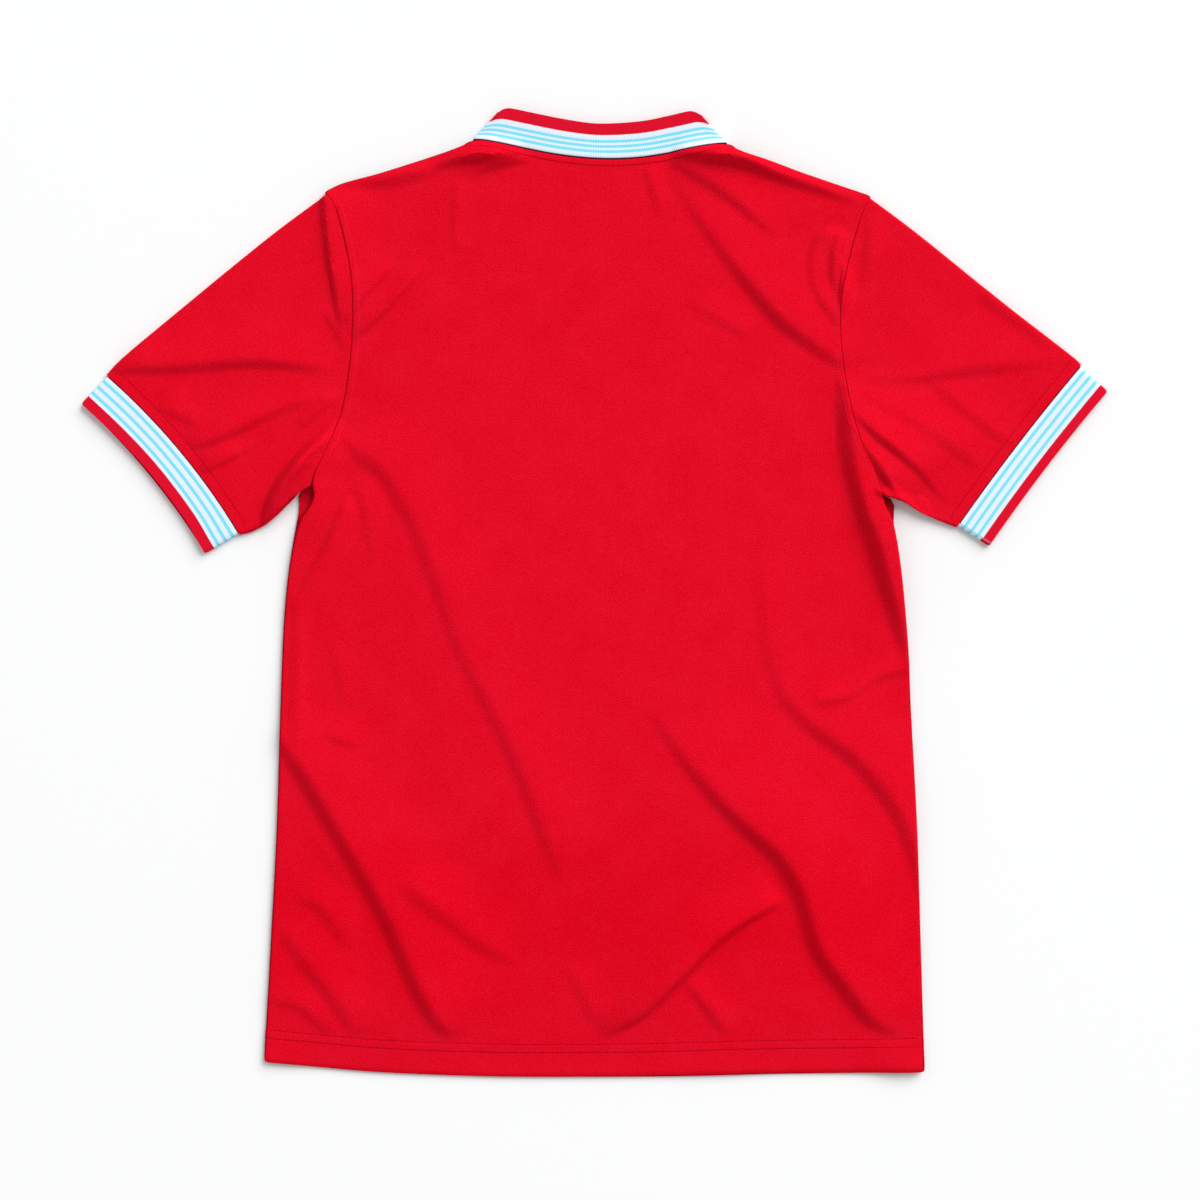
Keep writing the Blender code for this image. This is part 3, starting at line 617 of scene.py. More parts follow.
def upper_level(places):
    """Height of the middle of the upper layer of cloth, which the hem holds flat."""
    lift = sum(fold_lift(places, fold) for fold in FOLDS) + body_rise(places)
    lift += sum(high * waves(places, size, seed) for high, size, seed in BACK_WAVES)
    above = places[..., 1] - HEM_FLAT
    sink = HEM_SINK * (1 - smooth(above / HEM_SLOPE + HEM_SLOPE_SHARE))
    return UPPER_LEVEL + lift * smooth(above / FOLD_END) - sink + hem_curl(places)


def hem_curl(places):
    """How far the hem, front and back together, curls up off the floor."""
    near_edge = 1 - smooth((places[..., 1] - HEM_EDGE) / HEM_CURL_DEPTH)
    return near_edge * sum(high * bell((places[..., 0] - x) / wide) for x, wide, high in HEM_CURLS)


def sleeve_rise(places):
    """How far the lower layer of a sleeve stands off the floor."""
    return sum(high * spot(places, x, y, wide) for x, y, wide, high in SLEEVE_RISES)


def back_level(places):
    """Height of the middle of the back panel: the upper layer's, and the rolls along its sides."""
    return upper_level(places) + sum(fold_lift(places, fold) for fold in SIDE_ROLLS)


def front_level(places):
    """Height of the middle of the front panel, which lies on the floor."""
    lift = sum(fold_lift(places, fold) for fold in UNDER_FOLDS)
    high, size, seed = FRONT_WAVES
    return LOWER_LEVEL + lift + high * (1 + waves(places, size, seed)) + hem_curl(places)


# A seam on a piece of cloth: the line that the piece is sewn along, how much it sinks and how much painted
# shade darkens it there, and the rows of stitches that hold the allowance down, each with its distance
# inside the line and how much painted shade its groove gets. The allowance lies under the cloth as far as
# the stitches.
Seam = namedtuple("Seam", "line stitches raised groove edge dark")


def sewn_relief(places, seams, seed):
    """How far seams and stitches raise the outer skin of the cloth, or sink it where negative."""
    flat = places.reshape(-1, 2)
    relief = np.zeros(len(flat))
    for number, seam in enumerate(seams):
        left, along = seam.line.beside(flat)
        away = np.abs(left)
        last = max(stitch for stitch, _ in seam.stitches)
        relief += seam.raised * (1 - smooth((away - last + ALLOWANCE_START) / ALLOWANCE_SLOPE))
        relief -= seam.edge * bell(away / SEAM_DIP_WIDTH)
        near = away < last + PUCKER_REACH
        pucker = np.zeros(len(flat))
        run = np.stack([along * seam.line.length, away * PUCKER_ACROSS], axis=1)[near]
        pucker[near] = waves(run, PUCKER_SIZE, seed + number)
        for stitch, _ in seam.stitches:
            relief -= seam.groove * bell((away - stitch) / GROOVE_WIDTH)
            relief += PUCKER_HEIGHT * pucker * bell((away - stitch) / PUCKER_WIDTH)
    return relief.reshape(places.shape[:-1])


def sewn_shade(places, seams):
    """Painted shade along the seams and rows of stitches, where their hollows lie in shade, from 0 to 1."""
    flat = places.reshape(-1, 2)
    shade = np.zeros(len(flat))
    for seam in seams:
        away = np.abs(seam.line.beside(flat)[0])
        shade = np.maximum(shade, seam.dark * bell(away / SEAM_DARK_WIDTH))
        for stitch, dark in seam.stitches:
            shade = np.maximum(shade, dark * bell((away - stitch) / STITCH_DARK_WIDTH))
    return shade.reshape(places.shape[:-1])


def edge_shade(places, edges):
    """Painted shade where the cloth turns over: edges are lines, each with how wide the shade is there."""
    flat = places.reshape(-1, 2)
    shade = [1 - smooth((np.abs(line.beside(flat)[0]) - EDGE_START) / wide) for line, wide in edges]
    return EDGE_DARK * np.max(shade, axis=0).reshape(places.shape[:-1])


def painted_pocket_shade(places):
    """Painted shade in the hollows at the armpits, where little light gets in."""
    return np.max([dark * spot(places, x, y, wide) for x, y, wide, dark in ARMPIT_SHADOWS], axis=0)


def outline_shade(places, patch):
    """Painted shade all round a body panel's outline, but for its armholes and its neck."""
    lines = [patch.top.lines[0], patch.top.lines[2], patch.left.lines[0], patch.right.lines[0]]
    along_hem = bell(patch.bottom.beside(places.reshape(-1, 2))[0] / HEM_WIDE)
    hem_shade = HEM_DARK * along_hem.reshape(places.shape[:-1])
    return np.maximum(edge_shade(places, [(line, EDGE_WIDE) for line in lines]), hem_shade)


# ------------------------------------------------------------- grids of points


def edge_distances(wall, turned):
    """Distances from the outline of the lines of points near an edge, outermost first."""
    turned = np.asarray(turned, float)[..., None]
    round_way = wall / 2 + TURN * (1 - np.sin(TURN_ANGLES))
    near = turned * round_way + (1 - turned) * LEVEL_LINES
    far = np.broadcast_to(STITCH_LINES, near.shape[:-1] + STITCH_LINES.shape)
    return np.concatenate([near, far], axis=-1)


def edge_height(level, meets, line, turned):
    """Height of the cloth on one of those lines, between its own level and the seam."""
    angle = np.append(TURN_ANGLES, np.zeros(len(STITCH_LINES) + 1))[line]
    straight = np.where(line == 0, 0, STRAIGHT_AT_SEAM) * np.sign(level - meets)
    upright = meets + straight + (level - meets - straight) * np.cos(angle)
    return np.where(line < len(TURN_ANGLES), turned * upright + (1 - turned) * level, level)


def through(counts, knots):
    """Stations that run evenly from knot to knot. A knot may be an array, one value for each line."""
    knots = np.broadcast_arrays(*[np.asarray(k, float) for k in knots])
    runs = []
    for count, low, high in zip(counts, knots[:-1], knots[1:]):
        share = np.arange(count) / count
        runs.append(low[..., None] + (high - low)[..., None] * share)
    return np.concatenate(runs + [knots[-1][..., None]], axis=-1)


def steps_in(length, step):
    return max(1, int(round(length / step)))


def panel_points(patch, armpit, step, level_of, meets):
    """Points of the middle of a body panel's cloth, a row for each step up the panel."""
    edge = len(LEVEL_LINES) + len(STITCH_LINES)
    line = np.arange(edge)
    side = patch.stretch(0.5, np.array([NEAR_HEM]), "t")[0]
    counts = [steps_in(armpit * side, step), steps_in((1 - armpit) * side, step)]
    rough_middle = through(counts, [ROUGH_START, armpit, ROUGH_END])[1:-1]
    rough_rows = np.concatenate([HEM_LINES / side, rough_middle, np.ones(edge)])
    row_line = np.concatenate([np.full(len(rough_rows) - edge, edge), line[::-1]])
    row_turned = smooth((armpit - rough_rows) * side / CORNER)
    away = edge_distances(JERSEY_WALL, row_turned)
    left = away / patch.stretch(np.zeros(len(rough_rows)), rough_rows, "s")[:, None]
    right = 1 - away / patch.stretch(np.ones(len(rough_rows)), rough_rows, "s")[:, None]
    shares = (NECK_START, NECK_END - NECK_START, 1 - NECK_END)
    across = [steps_in(TOP_WIDTH * share, step * STEP_ACROSS) for share in shares]
    inside = through(across, [left[:, -1], NECK_START, NECK_END, right[:, -1]])
    s = np.hstack([left, inside[:, 1:-1], right[:, ::-1]])
    column_line = np.concatenate([line, np.full(inside.shape[1] - 2, edge), line[::-1]])
    outside = np.maximum(NECK_START - s[-1], s[-1] - NECK_END) * TOP_WIDTH
    column_turned = smooth(outside / CORNER)
    low = HEM_LINES[:, None] / patch.stretch(s[0], np.zeros(s.shape[1]), "t")
    high = edge_distances(JERSEY_WALL, column_turned).T / patch.stretch(s[-1], np.ones(s.shape[1]), "t")
    middle = through(counts, [low[-1], armpit, 1 - high[-1]]).T
    t = np.vstack([low, middle[1:-1], 1 - high[::-1]])
    places = round_corners(patch.at(s, t), patch, [(0, 0), (1, 0)], HEM_CORNER)
    meets = meets + hem_curl(places)
    height = edge_height(level_of(places), meets, column_line[None, :], row_turned[:, None])
    height = edge_height(height, meets, row_line[:, None], column_turned[None, :])
    return np.dstack([places, height])


def tube_points(upper, lower, near_lines, far_lines, step, across_step, level_of, wall, corner=0.0):
    """Points of the middle of a flattened tube's cloth, a closed ring for each row."""
    span = np.linalg.norm(upper.at(0.5, 1.0) - upper.at(0.5, 0.0))
    inner = wall / 2 + TURN
    columns = steps_in(upper.stretch(0.5, 0.5, "s"), across_step)
    middle = steps_in(span - near_lines[-1] - far_lines[-1], step)
    rough_middle = through([middle], [near_lines[-1] / span, 1 - far_lines[-1] / span])[1:-1]
    rough = np.concatenate([near_lines / span, rough_middle, 1 - far_lines[::-1] / span])
    over = upper.stretch(np.zeros(len(rough)), rough, "s")
    under = upper.stretch(np.ones(len(rough)), rough, "s")

    def flat(patch, share, rise):
        return patch, inner / over + (1 - inner / over - inner / under) * share, rise

    def turned(angle, far):
        away = wall / 2 + TURN * (1 - np.sin(angle))
        patch = upper if angle <= np.pi / 2 else lower
        return patch, 1 - away / under if far else away / over, (1 + np.cos(angle)) / 2

    turn = np.pi * np.arange(1, TURN_STEPS) / TURN_STEPS
    ring = [flat(upper, share, 1.0) for share in np.linspace(0, 1, columns + 1)]
    ring += [turned(angle, True) for angle in turn]
    ring += [flat(lower, share, 0.0) for share in np.linspace(1, 0, columns + 1)]
    ring += [turned(angle, False) for angle in turn[::-1]]
    start = -columns // 2 - len(turn)
    ring = ring[start:] + ring[:start]
    places = np.zeros((len(rough), len(ring), 2))
    height = np.zeros((len(rough), len(ring)))
    for k, (patch, s, rise) in enumerate(ring):
        near = near_lines / patch.stretch(s[:len(near_lines)], np.zeros(len(near_lines)), "t")
        far = far_lines / patch.stretch(s[-len(far_lines):], np.ones(len(far_lines)), "t")
        between = through([middle], [near[-1], 1 - far[-1]])[1:-1]
        places[:, k] = patch.at(s, np.concatenate([near, between, 1 - far[::-1]]))
        height[:, k] = rise
    if corner:
        places = round_corners(places, upper, [(0, 1), (1, 1)], corner)
    lowest = wall / 2 + sleeve_rise(places)
    return np.dstack([places, lowest + (level_of(places) - lowest) * height])


# ---------------------------------------------------------------------- shells


def grid_normals(points, closed):
    """Directions that the grid's surface faces, one for each point."""
    if closed:
        wide = np.concatenate([points[:, -1:], points, points[:, :1]], axis=1)
        across = (wide[:, 2:] - wide[:, :-2]) / 2
    else:
        across = np.gradient(points, axis=1)
    along = np.gradient(points, axis=0)
    normal = np.cross(across, along)
    return normal / np.maximum(np.linalg.norm(normal, axis=2), 1e-9)[..., None]


def rim(outer, inner, kept):
    """Faces between the edges of the two skins, where the inner one has only the points that are kept."""
    faces = []
    for a, b in zip(kept[:-1], kept[1:]):
        if b - a == 1:
            faces.append((outer[a], inner[a], inner[b], outer[b]))
        else:
            faces.append((outer[a], inner[a], outer[a + 1]))
            faces.append((outer[a + 1], inner[a], inner[b]))
            faces.append((outer[a + 1], inner[b], outer[b]))
    return faces


def squares(index):
    """Faces between the neighbouring points of a grid."""
    corners = [index[:-1, :-1], index[:-1, 1:], index[1:, 1:], index[1:, :-1]]
    return np.stack(corners, axis=-1).reshape(-1, 4).tolist()


def shell(name, points, closed, wall, relief, shade, lay, material, face_down=False):
    """A piece of cloth built round the grid of points: two skins, the outer one with its relief and its
    painted shade.

    The inner skin of a panel has every second point, that of a tube has them all.
    """
    rows, columns = points.shape[:2]
    normal = grid_normals(points, closed) * (-1 if face_down else 1)
    outer = points + normal * (wall / 2 + relief)[..., None]
    inner = points - normal * (wall / 2)
    if face_down:
        outer[..., 2] = np.maximum(outer[..., 2], 0)
    index = np.arange(rows * columns).reshape(rows, columns)
    if closed:
        index = np.concatenate([index, index[:, :1]], axis=1)
    step = 1 if closed else 2
    kept_rows = sorted({*range(0, index.shape[0], step), index.shape[0] - 1})
    kept_columns = sorted({*range(0, index.shape[1], step), index.shape[1] - 1})
    within = index + rows * columns
    faces = squares(index) + squares(within[np.ix_(kept_rows, kept_columns)][:, ::-1])
    faces += rim(index[0], within[0], kept_columns)
    faces += [face[::-1] for face in rim(index[-1], within[-1], kept_columns)]
    if not closed:
        faces += [face[::-1] for face in rim(index[:, 0], within[:, 0], kept_rows)]
        faces += rim(index[:, -1], within[:, -1], kept_rows)
    order = -1 if face_down else 1
    vertices = np.vstack([outer.reshape(-1, 3), inner.reshape(-1, 3)]) * MM
    mesh = bpy.data.meshes.new(name)
    mesh.from_pydata(vertices.tolist(), [], [[int(k) for k in face[::order]] for face in faces])
    attribute = mesh.attributes.new("lay", "FLOAT_VECTOR", "POINT")
    attribute.data.foreach_set("vector", np.vstack([lay.reshape(-1, 3)] * 2).astype(np.float32).ravel())
    # The outer skin's painted shade, which the material mixes into its colour; the inner skin gets none.
    attribute = mesh.attributes.new("shade", "FLOAT", "POINT")
    dark = np.concatenate([np.ravel(shade), np.zeros(rows * columns)])
    attribute.data.foreach_set("value", dark.astype(np.float32))
    mesh.materials.append(material)
    mesh.shade_smooth()
    mesh.set_sharp_from_angle(angle=SHARP_ANGLE)
    piece = bpy.data.objects.new(name, mesh)
    bpy.context.collection.objects.link(piece)
    tidy = bmesh.new()
    tidy.from_mesh(mesh)
    bmesh.ops.delete(tidy, geom=[v for v in tidy.verts if not v.link_faces], context="VERTS")
    tidy.to_mesh(mesh)
    tidy.free()
    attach(piece, "root")
    return piece


def surface_area(points, closed):
    """Area of the grid's surface, in square metres."""
    ends = np.concatenate([points, points[:, :1]], axis=1) if closed else points
    across = ends[:-1, 1:] - ends[:-1, :-1]
    along = ends[1:, :-1] - ends[:-1, :-1]
    return np.linalg.norm(np.cross(across, along), axis=2).sum() * MM**2


# --------------------------------------------------------------------- threads


def thread(name, runs, material):
    """Stitches along lines of points on the cloth, all in one mesh: each dips in at both its ends."""
    parts = np.array([0.0, 0.12, 0.5, 0.88, 1.0])
    dips = np.array([-0.28, 0.0, 0.07, 0.0, -0.28])
    widths = np.array([0.55, 0.95, 1.0, 0.95, 0.55]) * THREAD_RADIUS
    vertices, faces = [], []
    sides = THREAD_SIDES
    angle = 2 * np.pi * np.arange(sides) / sides
    for run in runs:
        steps = np.linalg.norm(np.diff(run, axis=0), axis=1)
        reach = np.concatenate([[0], np.cumsum(steps)])
        for start in np.arange(0, reach[-1] - STITCH_LENGTH, STITCH_PITCH):
            at = start + parts * STITCH_LENGTH
            centre = np.stack([np.interp(at, reach, run[:, k]) for k in range(3)], axis=1)
            centre[:, 2] += dips
            ahead = centre[-1] - centre[0]
            side = np.cross(ahead, [0, 0, 1.0])
            side /= np.linalg.norm(side)
            over = np.cross(side, ahead) / np.linalg.norm(ahead)
            first = len(vertices)
            for place, width in zip(centre, widths):
                vertices += [place + width * (np.cos(a) * side + np.sin(a) * over) for a in angle]
            for ring in range(len(parts) - 1):
                for k in range(sides):
                    a, b = first + ring * sides + k, first + ring * sides + (k + 1) % sides
                    faces.append((a, b, b + sides, a + sides))
            faces.append(tuple(range(first + sides - 1, first - 1, -1)))
            faces.append(tuple(range(first + (len(parts) - 1) * sides, first + len(parts) * sides)))
    mesh = bpy.data.meshes.new(name)
    mesh.from_pydata((np.array(vertices) * MM).tolist(), [], faces)
    mesh.materials.append(material)
    mesh.shade_smooth()
    piece = bpy.data.objects.new(name, mesh)
    bpy.context.collection.objects.link(piece)
    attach(piece, "root")
    return piece


def stitch_runs(rows, level_of, seams, sink, seed, under=False):
    """Points on the outer skin of the cloth for each row: line, how far to its left, and the free ends."""
    runs = []
    for line, away, start, end in rows:
        places = line.shifted(away, start, end).points
        relief = sewn_relief(places, seams, seed)
        lift = JERSEY_WALL / 2 + relief + THREAD_RADIUS * THREAD_LIFT - sink
        runs.append(np.column_stack([places, level_of(places) + (-lift if under else lift)]))
    return runs


# ------------------------------------------------------------------- materials


# How little cloth shines.
SPECULAR = 0.008
SHEEN_ROUGHNESS = 0.45


class Value:
    """A socket that can be reckoned with: each operation adds the node that does it."""

    def __init__(self, shader, socket):
        self.shader, self.socket = shader, socket

    def maths(self, operation, *others):
        return self.shader.add("ShaderNodeMath", {"operation": operation}, [self, *others])

    def __add__(self, other):
        return self.maths("ADD", other)

    def __sub__(self, other):
        return self.maths("SUBTRACT", other)

    def __mul__(self, other):
        return self.maths("MULTIPLY", other)

    def __truediv__(self, other):
        return self.maths("DIVIDE", other)

    def __radd__(self, other):
        return self.shader.add("ShaderNodeMath", {"operation": "ADD"}, [other, self])

    def __rsub__(self, other):
        return self.shader.add("ShaderNodeMath", {"operation": "SUBTRACT"}, [other, self])

    def part(self):
        return self.maths("FRACT")

    def size(self):
        return self.maths("ABSOLUTE")

    def sine(self):
        return self.maths("SINE")

    def between(self, low, high):
        """0 below low, 1 above high and smooth in between."""
        return self.shader.add("ShaderNodeMapRange", {"interpolation_type": "SMOOTHSTEP"},
                               {"Value": self, "From Min": low, "From Max": high})


class Shader:
    """A material whose nodes are added one by one."""

    def __init__(self, name, roughness, sheen, tint):
        self.material = bpy.data.materials.new(name)
        self.material.use_nodes = True
        self.tree = self.material.node_tree
        self.surface = self.tree.nodes["Principled BSDF"]
        self.surface.inputs["Roughness"].default_value = roughness
        self.surface.inputs["Specular IOR Level"].default_value = SPECULAR
        self.surface.inputs["Sheen Weight"].default_value = sheen
        self.surface.inputs["Sheen Roughness"].default_value = SHEEN_ROUGHNESS
        self.surface.inputs["Sheen Tint"].default_value = (*tint, 1.0)

    def add(self, kind, settings, inputs, output=0):
        """A node of that kind: its settings first, then the values or links of its sockets."""
        node = self.tree.nodes.new(kind)
        for name, value in settings.items():
            setattr(node, name, value)
        pairs = inputs.items() if isinstance(inputs, dict) else enumerate(inputs)
        for name, value in pairs:
            if isinstance(value, Value):
                self.tree.links.new(value.socket, node.inputs[name])
            else:
                node.inputs[name].default_value = value
        return Value(self, node.outputs[output])

    def mix(self, share, first, second):
        """A colour that goes from the first to the second as the share goes from 0 to 1."""
        return self.add("ShaderNodeMix", {"data_type": "RGBA"}, {0: share, 6: first, 7: second}, 2)

    def lay(self):
        """Where a point lies on the cloth: along it, across it, and its share of the band's width."""
        lay = self.add("ShaderNodeAttribute", {"attribute_name": "lay"}, [], "Vector")
        split = self.add("ShaderNodeSeparateXYZ", {}, [lay])
        outputs = split.socket.node.outputs
        return lay, Value(self, outputs[0]), Value(self, outputs[1]), Value(self, outputs[2])

    def cloud(self, vector, scale, detail=2.0):
        return self.add("ShaderNodeTexNoise", {}, {"Vector": vector, "Scale": scale, "Detail": detail})

    def feed(self, socket, value):
        self.tree.links.new(value.socket, self.surface.inputs[socket])

    def raise_by(self, height):
        """Bumps of that height, in metres."""
        bump = self.add("ShaderNodeBump", {}, {"Height": height, "Distance": 1.0, "Strength": 1.0})
        self.feed("Normal", bump)


# How wide a column of stitches is and how high a stitch, in millimetres. In the jersey each stitch is a V.
WALE = 0.95
COURSE = 0.72
V_SLOPE = 0.55
LOOP_SHARE = 0.25
RIB_WALE = 1.35
RIB_COURSE = 0.8

# The unevenness of the cloths, from fine to large, in waves to a millimetre, and the thread's twist in waves
# to a metre.
GRAIN_SCALE = 0.85
UNEVEN_SCALE = 0.17
CLOUDY_SCALE = 0.035
RIB_GRAIN_SCALE = 0.6
RIB_STEP_SCALE = 0.9
TWIST_SCALE = 900.0

# Heights of the bumps, in metres.
CORD_BUMP = 0.00007
GRAIN_BUMP = 0.00012
UNEVEN_BUMP = 0.0001
RIB_BUMP = 0.00016
RIB_LOOP_BUMP = 0.00003
RIB_GRAIN_BUMP = 0.00006
THREAD_BUMP = 0.00003

# Where painted shade makes the body's red a little deeper, as the lower body tilts away from the light:
# the middle of that stretch and half its height. How much that, each kind of unevenness and the columns of
# stitches change the red, and roughness varies.
SHADED_BAND_AT = -262
SHADED_BAND_REACH = 110
SHADED_BAND_TONE = 0.16
GRAIN_TONE = 2.0
UNEVEN_TONE = 0.3
CLOUDY_TONE = 0.4
CORD_TONE = 0.12
CLOTH_ROUGHNESS = 0.66
ROUGHNESS_GRAIN = 0.12
RIB_ROUGHNESS_GRAIN = 0.1

# The bands' colours change over these shares of their width. The stripes drift over some millimetres before
# the join and jump back there, by a share of the width, and the join itself is a soft dark line.
STRIPE_BLUR = 0.012
RED_BLUR = 0.008
JOIN_SLIP = 0.03
JOIN_DRIFT = (-45.0, -15.0)
JOIN_HALF = 0.15
JOIN_LINE = (0.2, 0.9)
JOIN_DARK = 0.4

# How much painted shade darkens the hollows between the rib's wales, mixed with random grain tone.
HOLLOW_SHARE = 0.5
HOLLOW_GRAIN = 0.35
HOLLOW_DEEPEST = 0.6

# The painted shadow along the seam fades out between these multiples of its width.
SEAM_SHADOW_FADE = (0.6, 1.3)

# A band: the middles of its stripes and their width, where the red edge starts and how wide the painted
# shadow at its seam is, all as shares of its width, and at how many millimetres along it the ring is joined.
# The cuffs' red edges and joins are those of the arms.
Band = namedtuple("Band", "centres width red_from seam_width join")
CUFF_BAND = Band((0.17, 0.38, 0.59), 0.085, None, 0.02, None)
COLLAR_BAND = Band((0.207, 0.35, 0.492), 0.078, 0.67, 0.036, 60)

RED = (0.60, 0.0020, 0.0130, 1.0)
RED_DEEP = (0.565, 0.0001, 0.0058, 1.0)
RED_LIGHT = (0.645, 0.0058, 0.0235, 1.0)
# The dark red that the painted shade of seams, stitch rows, edges, hem and armpit hollows mixes towards.
SHADE_RED = (0.13, 0.0001, 0.001, 1.0)
RIB_RED = (0.63, 0.006, 0.024, 1.0)
RIB_RED_PAINTED_SHADE = (0.57, 0.003, 0.018, 1.0)
RIB_JOIN = (0.20, 0.30, 0.45, 1.0)
SEAM_SHADOW_PURPLE = (0.03, 0.003, 0.012, 1.0)
RIB_WHITE = (0.68, 0.76, 0.82, 1.0)
RIB_WHITE_PAINTED_SHADE = (0.58, 0.69, 0.79, 1.0)
AQUA = (0.155, 0.60, 0.76, 1.0)
AQUA_LIGHT = (0.21, 0.66, 0.80, 1.0)
# The stitches' dark red: partly the thread's own colour, partly painted shade of the holes it sinks into.
THREAD_RED_HOLE_SHADED = (0.21, 0.0004, 0.003, 1.0), (0.28, 0.0008, 0.005, 1.0)
SOFT_THREAD_RED = (0.32, 0.001, 0.006, 1.0), (0.40, 0.002, 0.010, 1.0)
PALE_THREAD_RED = (0.66, 0.016, 0.045, 1.0), (0.72, 0.028, 0.065, 1.0)


def make_jersey():
    """Smooth knit: columns of V stitches, a soft grain, a faint unevenness in its red, and painted shade."""
    shader = Shader("red_jersey_knit", 0.72, 0.08, (1.0, 0.03, 0.06))
    lay, u, v, _ = shader.lay()
    wale = (u / WALE).part() - 0.5
    out = wale.size() * 2
    loop = ((v / COURSE + out * V_SLOPE) * (2 * np.pi)).sine()
    cord = (1 - out * out) * (1 - LOOP_SHARE + loop * LOOP_SHARE)
    grain = shader.cloud(lay, GRAIN_SCALE)
    uneven = shader.cloud(lay, UNEVEN_SCALE)
    cloudy = shader.cloud(lay, CLOUDY_SCALE, 3.0)
    # Painted shade: the red deepens across a band of the lower body, which tilts away from the light.
    low = 1 - ((v - SHADED_BAND_AT) / SHADED_BAND_REACH).size().between(0.0, 1.0)
    tone = (grain - 0.5) * GRAIN_TONE + (uneven - 0.5) * UNEVEN_TONE + (cloudy - 0.5) * CLOUDY_TONE
    tone = tone - low * SHADED_BAND_TONE + 0.5
    colour = shader.mix(tone.between(0.0, 1.0), RED_DEEP, RED_LIGHT)
    knit = shader.mix(cord * CORD_TONE, colour, RED)
    # Painted shade from the outer skin's attribute darkens the red towards a deep red.
    dark = shader.add("ShaderNodeAttribute", {"attribute_name": "shade"}, [], "Fac")
    shader.feed("Base Color", shader.mix(dark, knit, SHADE_RED))
    shader.feed("Roughness", CLOTH_ROUGHNESS + grain * ROUGHNESS_GRAIN)
    shader.raise_by(cord * CORD_BUMP + grain * GRAIN_BUMP + uneven * UNEVEN_BUMP)
    return shader.material


def make_rib(name, band):
    """Rib knit: upright wales with painted shade in their hollows, three light blue stripes on white, a red
    edge and a painted shadow along its seam.

    The stripes do not quite meet where the band is joined into a ring.
    """
    shader = Shader(name, 0.7, 0.0, (1.0, 1.0, 1.0))
    lay, u, v, share = shader.lay()
    wale = (u / RIB_WALE).part() - 0.5
    rise = 1 - wale.size() * wale.size() * 4
    loop = ((v / RIB_COURSE) * (2 * np.pi)).sine()
    step = shader.cloud(lay, RIB_STEP_SCALE, 1.0) - 0.5
    past = (u - band.join).between(-JOIN_HALF, JOIN_HALF)
    near = 1 - (u - band.join).size().between(*JOIN_LINE)
    slip = (u - band.join).between(*JOIN_DRIFT) - past
    place = share + step * STRIPE_BLUR + slip * JOIN_SLIP
    half = band.width / 2
    blue = 0.0
    for centre in band.centres:
        blue = blue + (1 - (place - centre).size().between(half - STRIPE_BLUR, half + STRIPE_BLUR))
    red = place.between(band.red_from - RED_BLUR, band.red_from + RED_BLUR)
    grain = shader.cloud(lay, RIB_GRAIN_SCALE)
    # Painted shade in the hollows between the wales, with some random grain tone.
    hollow = (1 - rise) * HOLLOW_SHARE + (grain - 0.5) * HOLLOW_GRAIN
    white = shader.mix(hollow.between(0.0, HOLLOW_DEEPEST), RIB_WHITE, RIB_WHITE_PAINTED_SHADE)
    aqua = shader.mix(grain, AQUA, AQUA_LIGHT)
    edge = shader.mix(hollow.between(0.0, HOLLOW_DEEPEST), RIB_RED, RIB_RED_PAINTED_SHADE)
    striped = shader.mix(red, shader.mix(blue, white, aqua), edge)
    # Painted shadow along the seam, where the band dips under the cloth.
    seam = 1 - place.between(*[band.seam_width * share for share in SEAM_SHADOW_FADE])
    joined = shader.mix(near * JOIN_DARK, striped, RIB_JOIN)
    shader.feed("Base Color", shader.mix(seam, joined, SEAM_SHADOW_PURPLE))
    shader.feed("Roughness", CLOTH_ROUGHNESS + grain * RIB_ROUGHNESS_GRAIN)
    shader.raise_by(rise * RIB_BUMP + loop * RIB_LOOP_BUMP + grain * RIB_GRAIN_BUMP)
    return shader.material


def make_thread(name, deep, light):
    """Sewing thread with its twist."""
    shader = Shader(name, 0.7, 0.05, (1.0, 0.1, 0.1))
    place = shader.add("ShaderNodeTexCoord", {}, [], "Object")
    inputs = {"Vector": place, "Scale": TWIST_SCALE}
    twist = shader.add("ShaderNodeTexWave", {"bands_direction": "DIAGONAL"}, inputs)
    shader.feed("Base Color", shader.mix(twist, deep, light))
    shader.raise_by(twist * THREAD_BUMP)
    return shader.material


# ------------------------------------------------------------------ the pieces


# A body panel: its patch, the share of its sides where the armholes start, and lines of its outline.
Panel = namedtuple("Panel", "patch armpit arms neck hem")


def make_panel(neck, hem, scoop, armpits, notches):
    """The panel whose sides run up to the armpits by way of the notches."""
    sides = [Line([foot] + way + notch + [armpit])
             for foot, way, notch, armpit in zip(HEM_ENDS, SIDE_WAYS, notches, armpits)]
    arms = [scooped(Line([armpit] + way + [shoulder]), scoop, inward)
            for armpit, way, shoulder, inward in zip(armpits, ARMHOLE_WAYS, SHOULDERS, (1, -1))]
    shoulder_left = Line([SHOULDERS[0]] + SHOULDER_LEFT_WAY + [neck.points[0]])
    shoulder_right = Line([neck.points[-1]] + SHOULDER_RIGHT_WAY + [SHOULDERS[1]])
    armpit = sides[0].length / (sides[0].length + arms[0].length)
    top = Chain([shoulder_left, neck, shoulder_right], [NECK_START, NECK_END])
    left, right = [Chain([side, arm], [armpit]) for side, arm in zip(sides, arms)]
    return Panel(Patch(hem, top, left, right), armpit, arms, neck, hem)


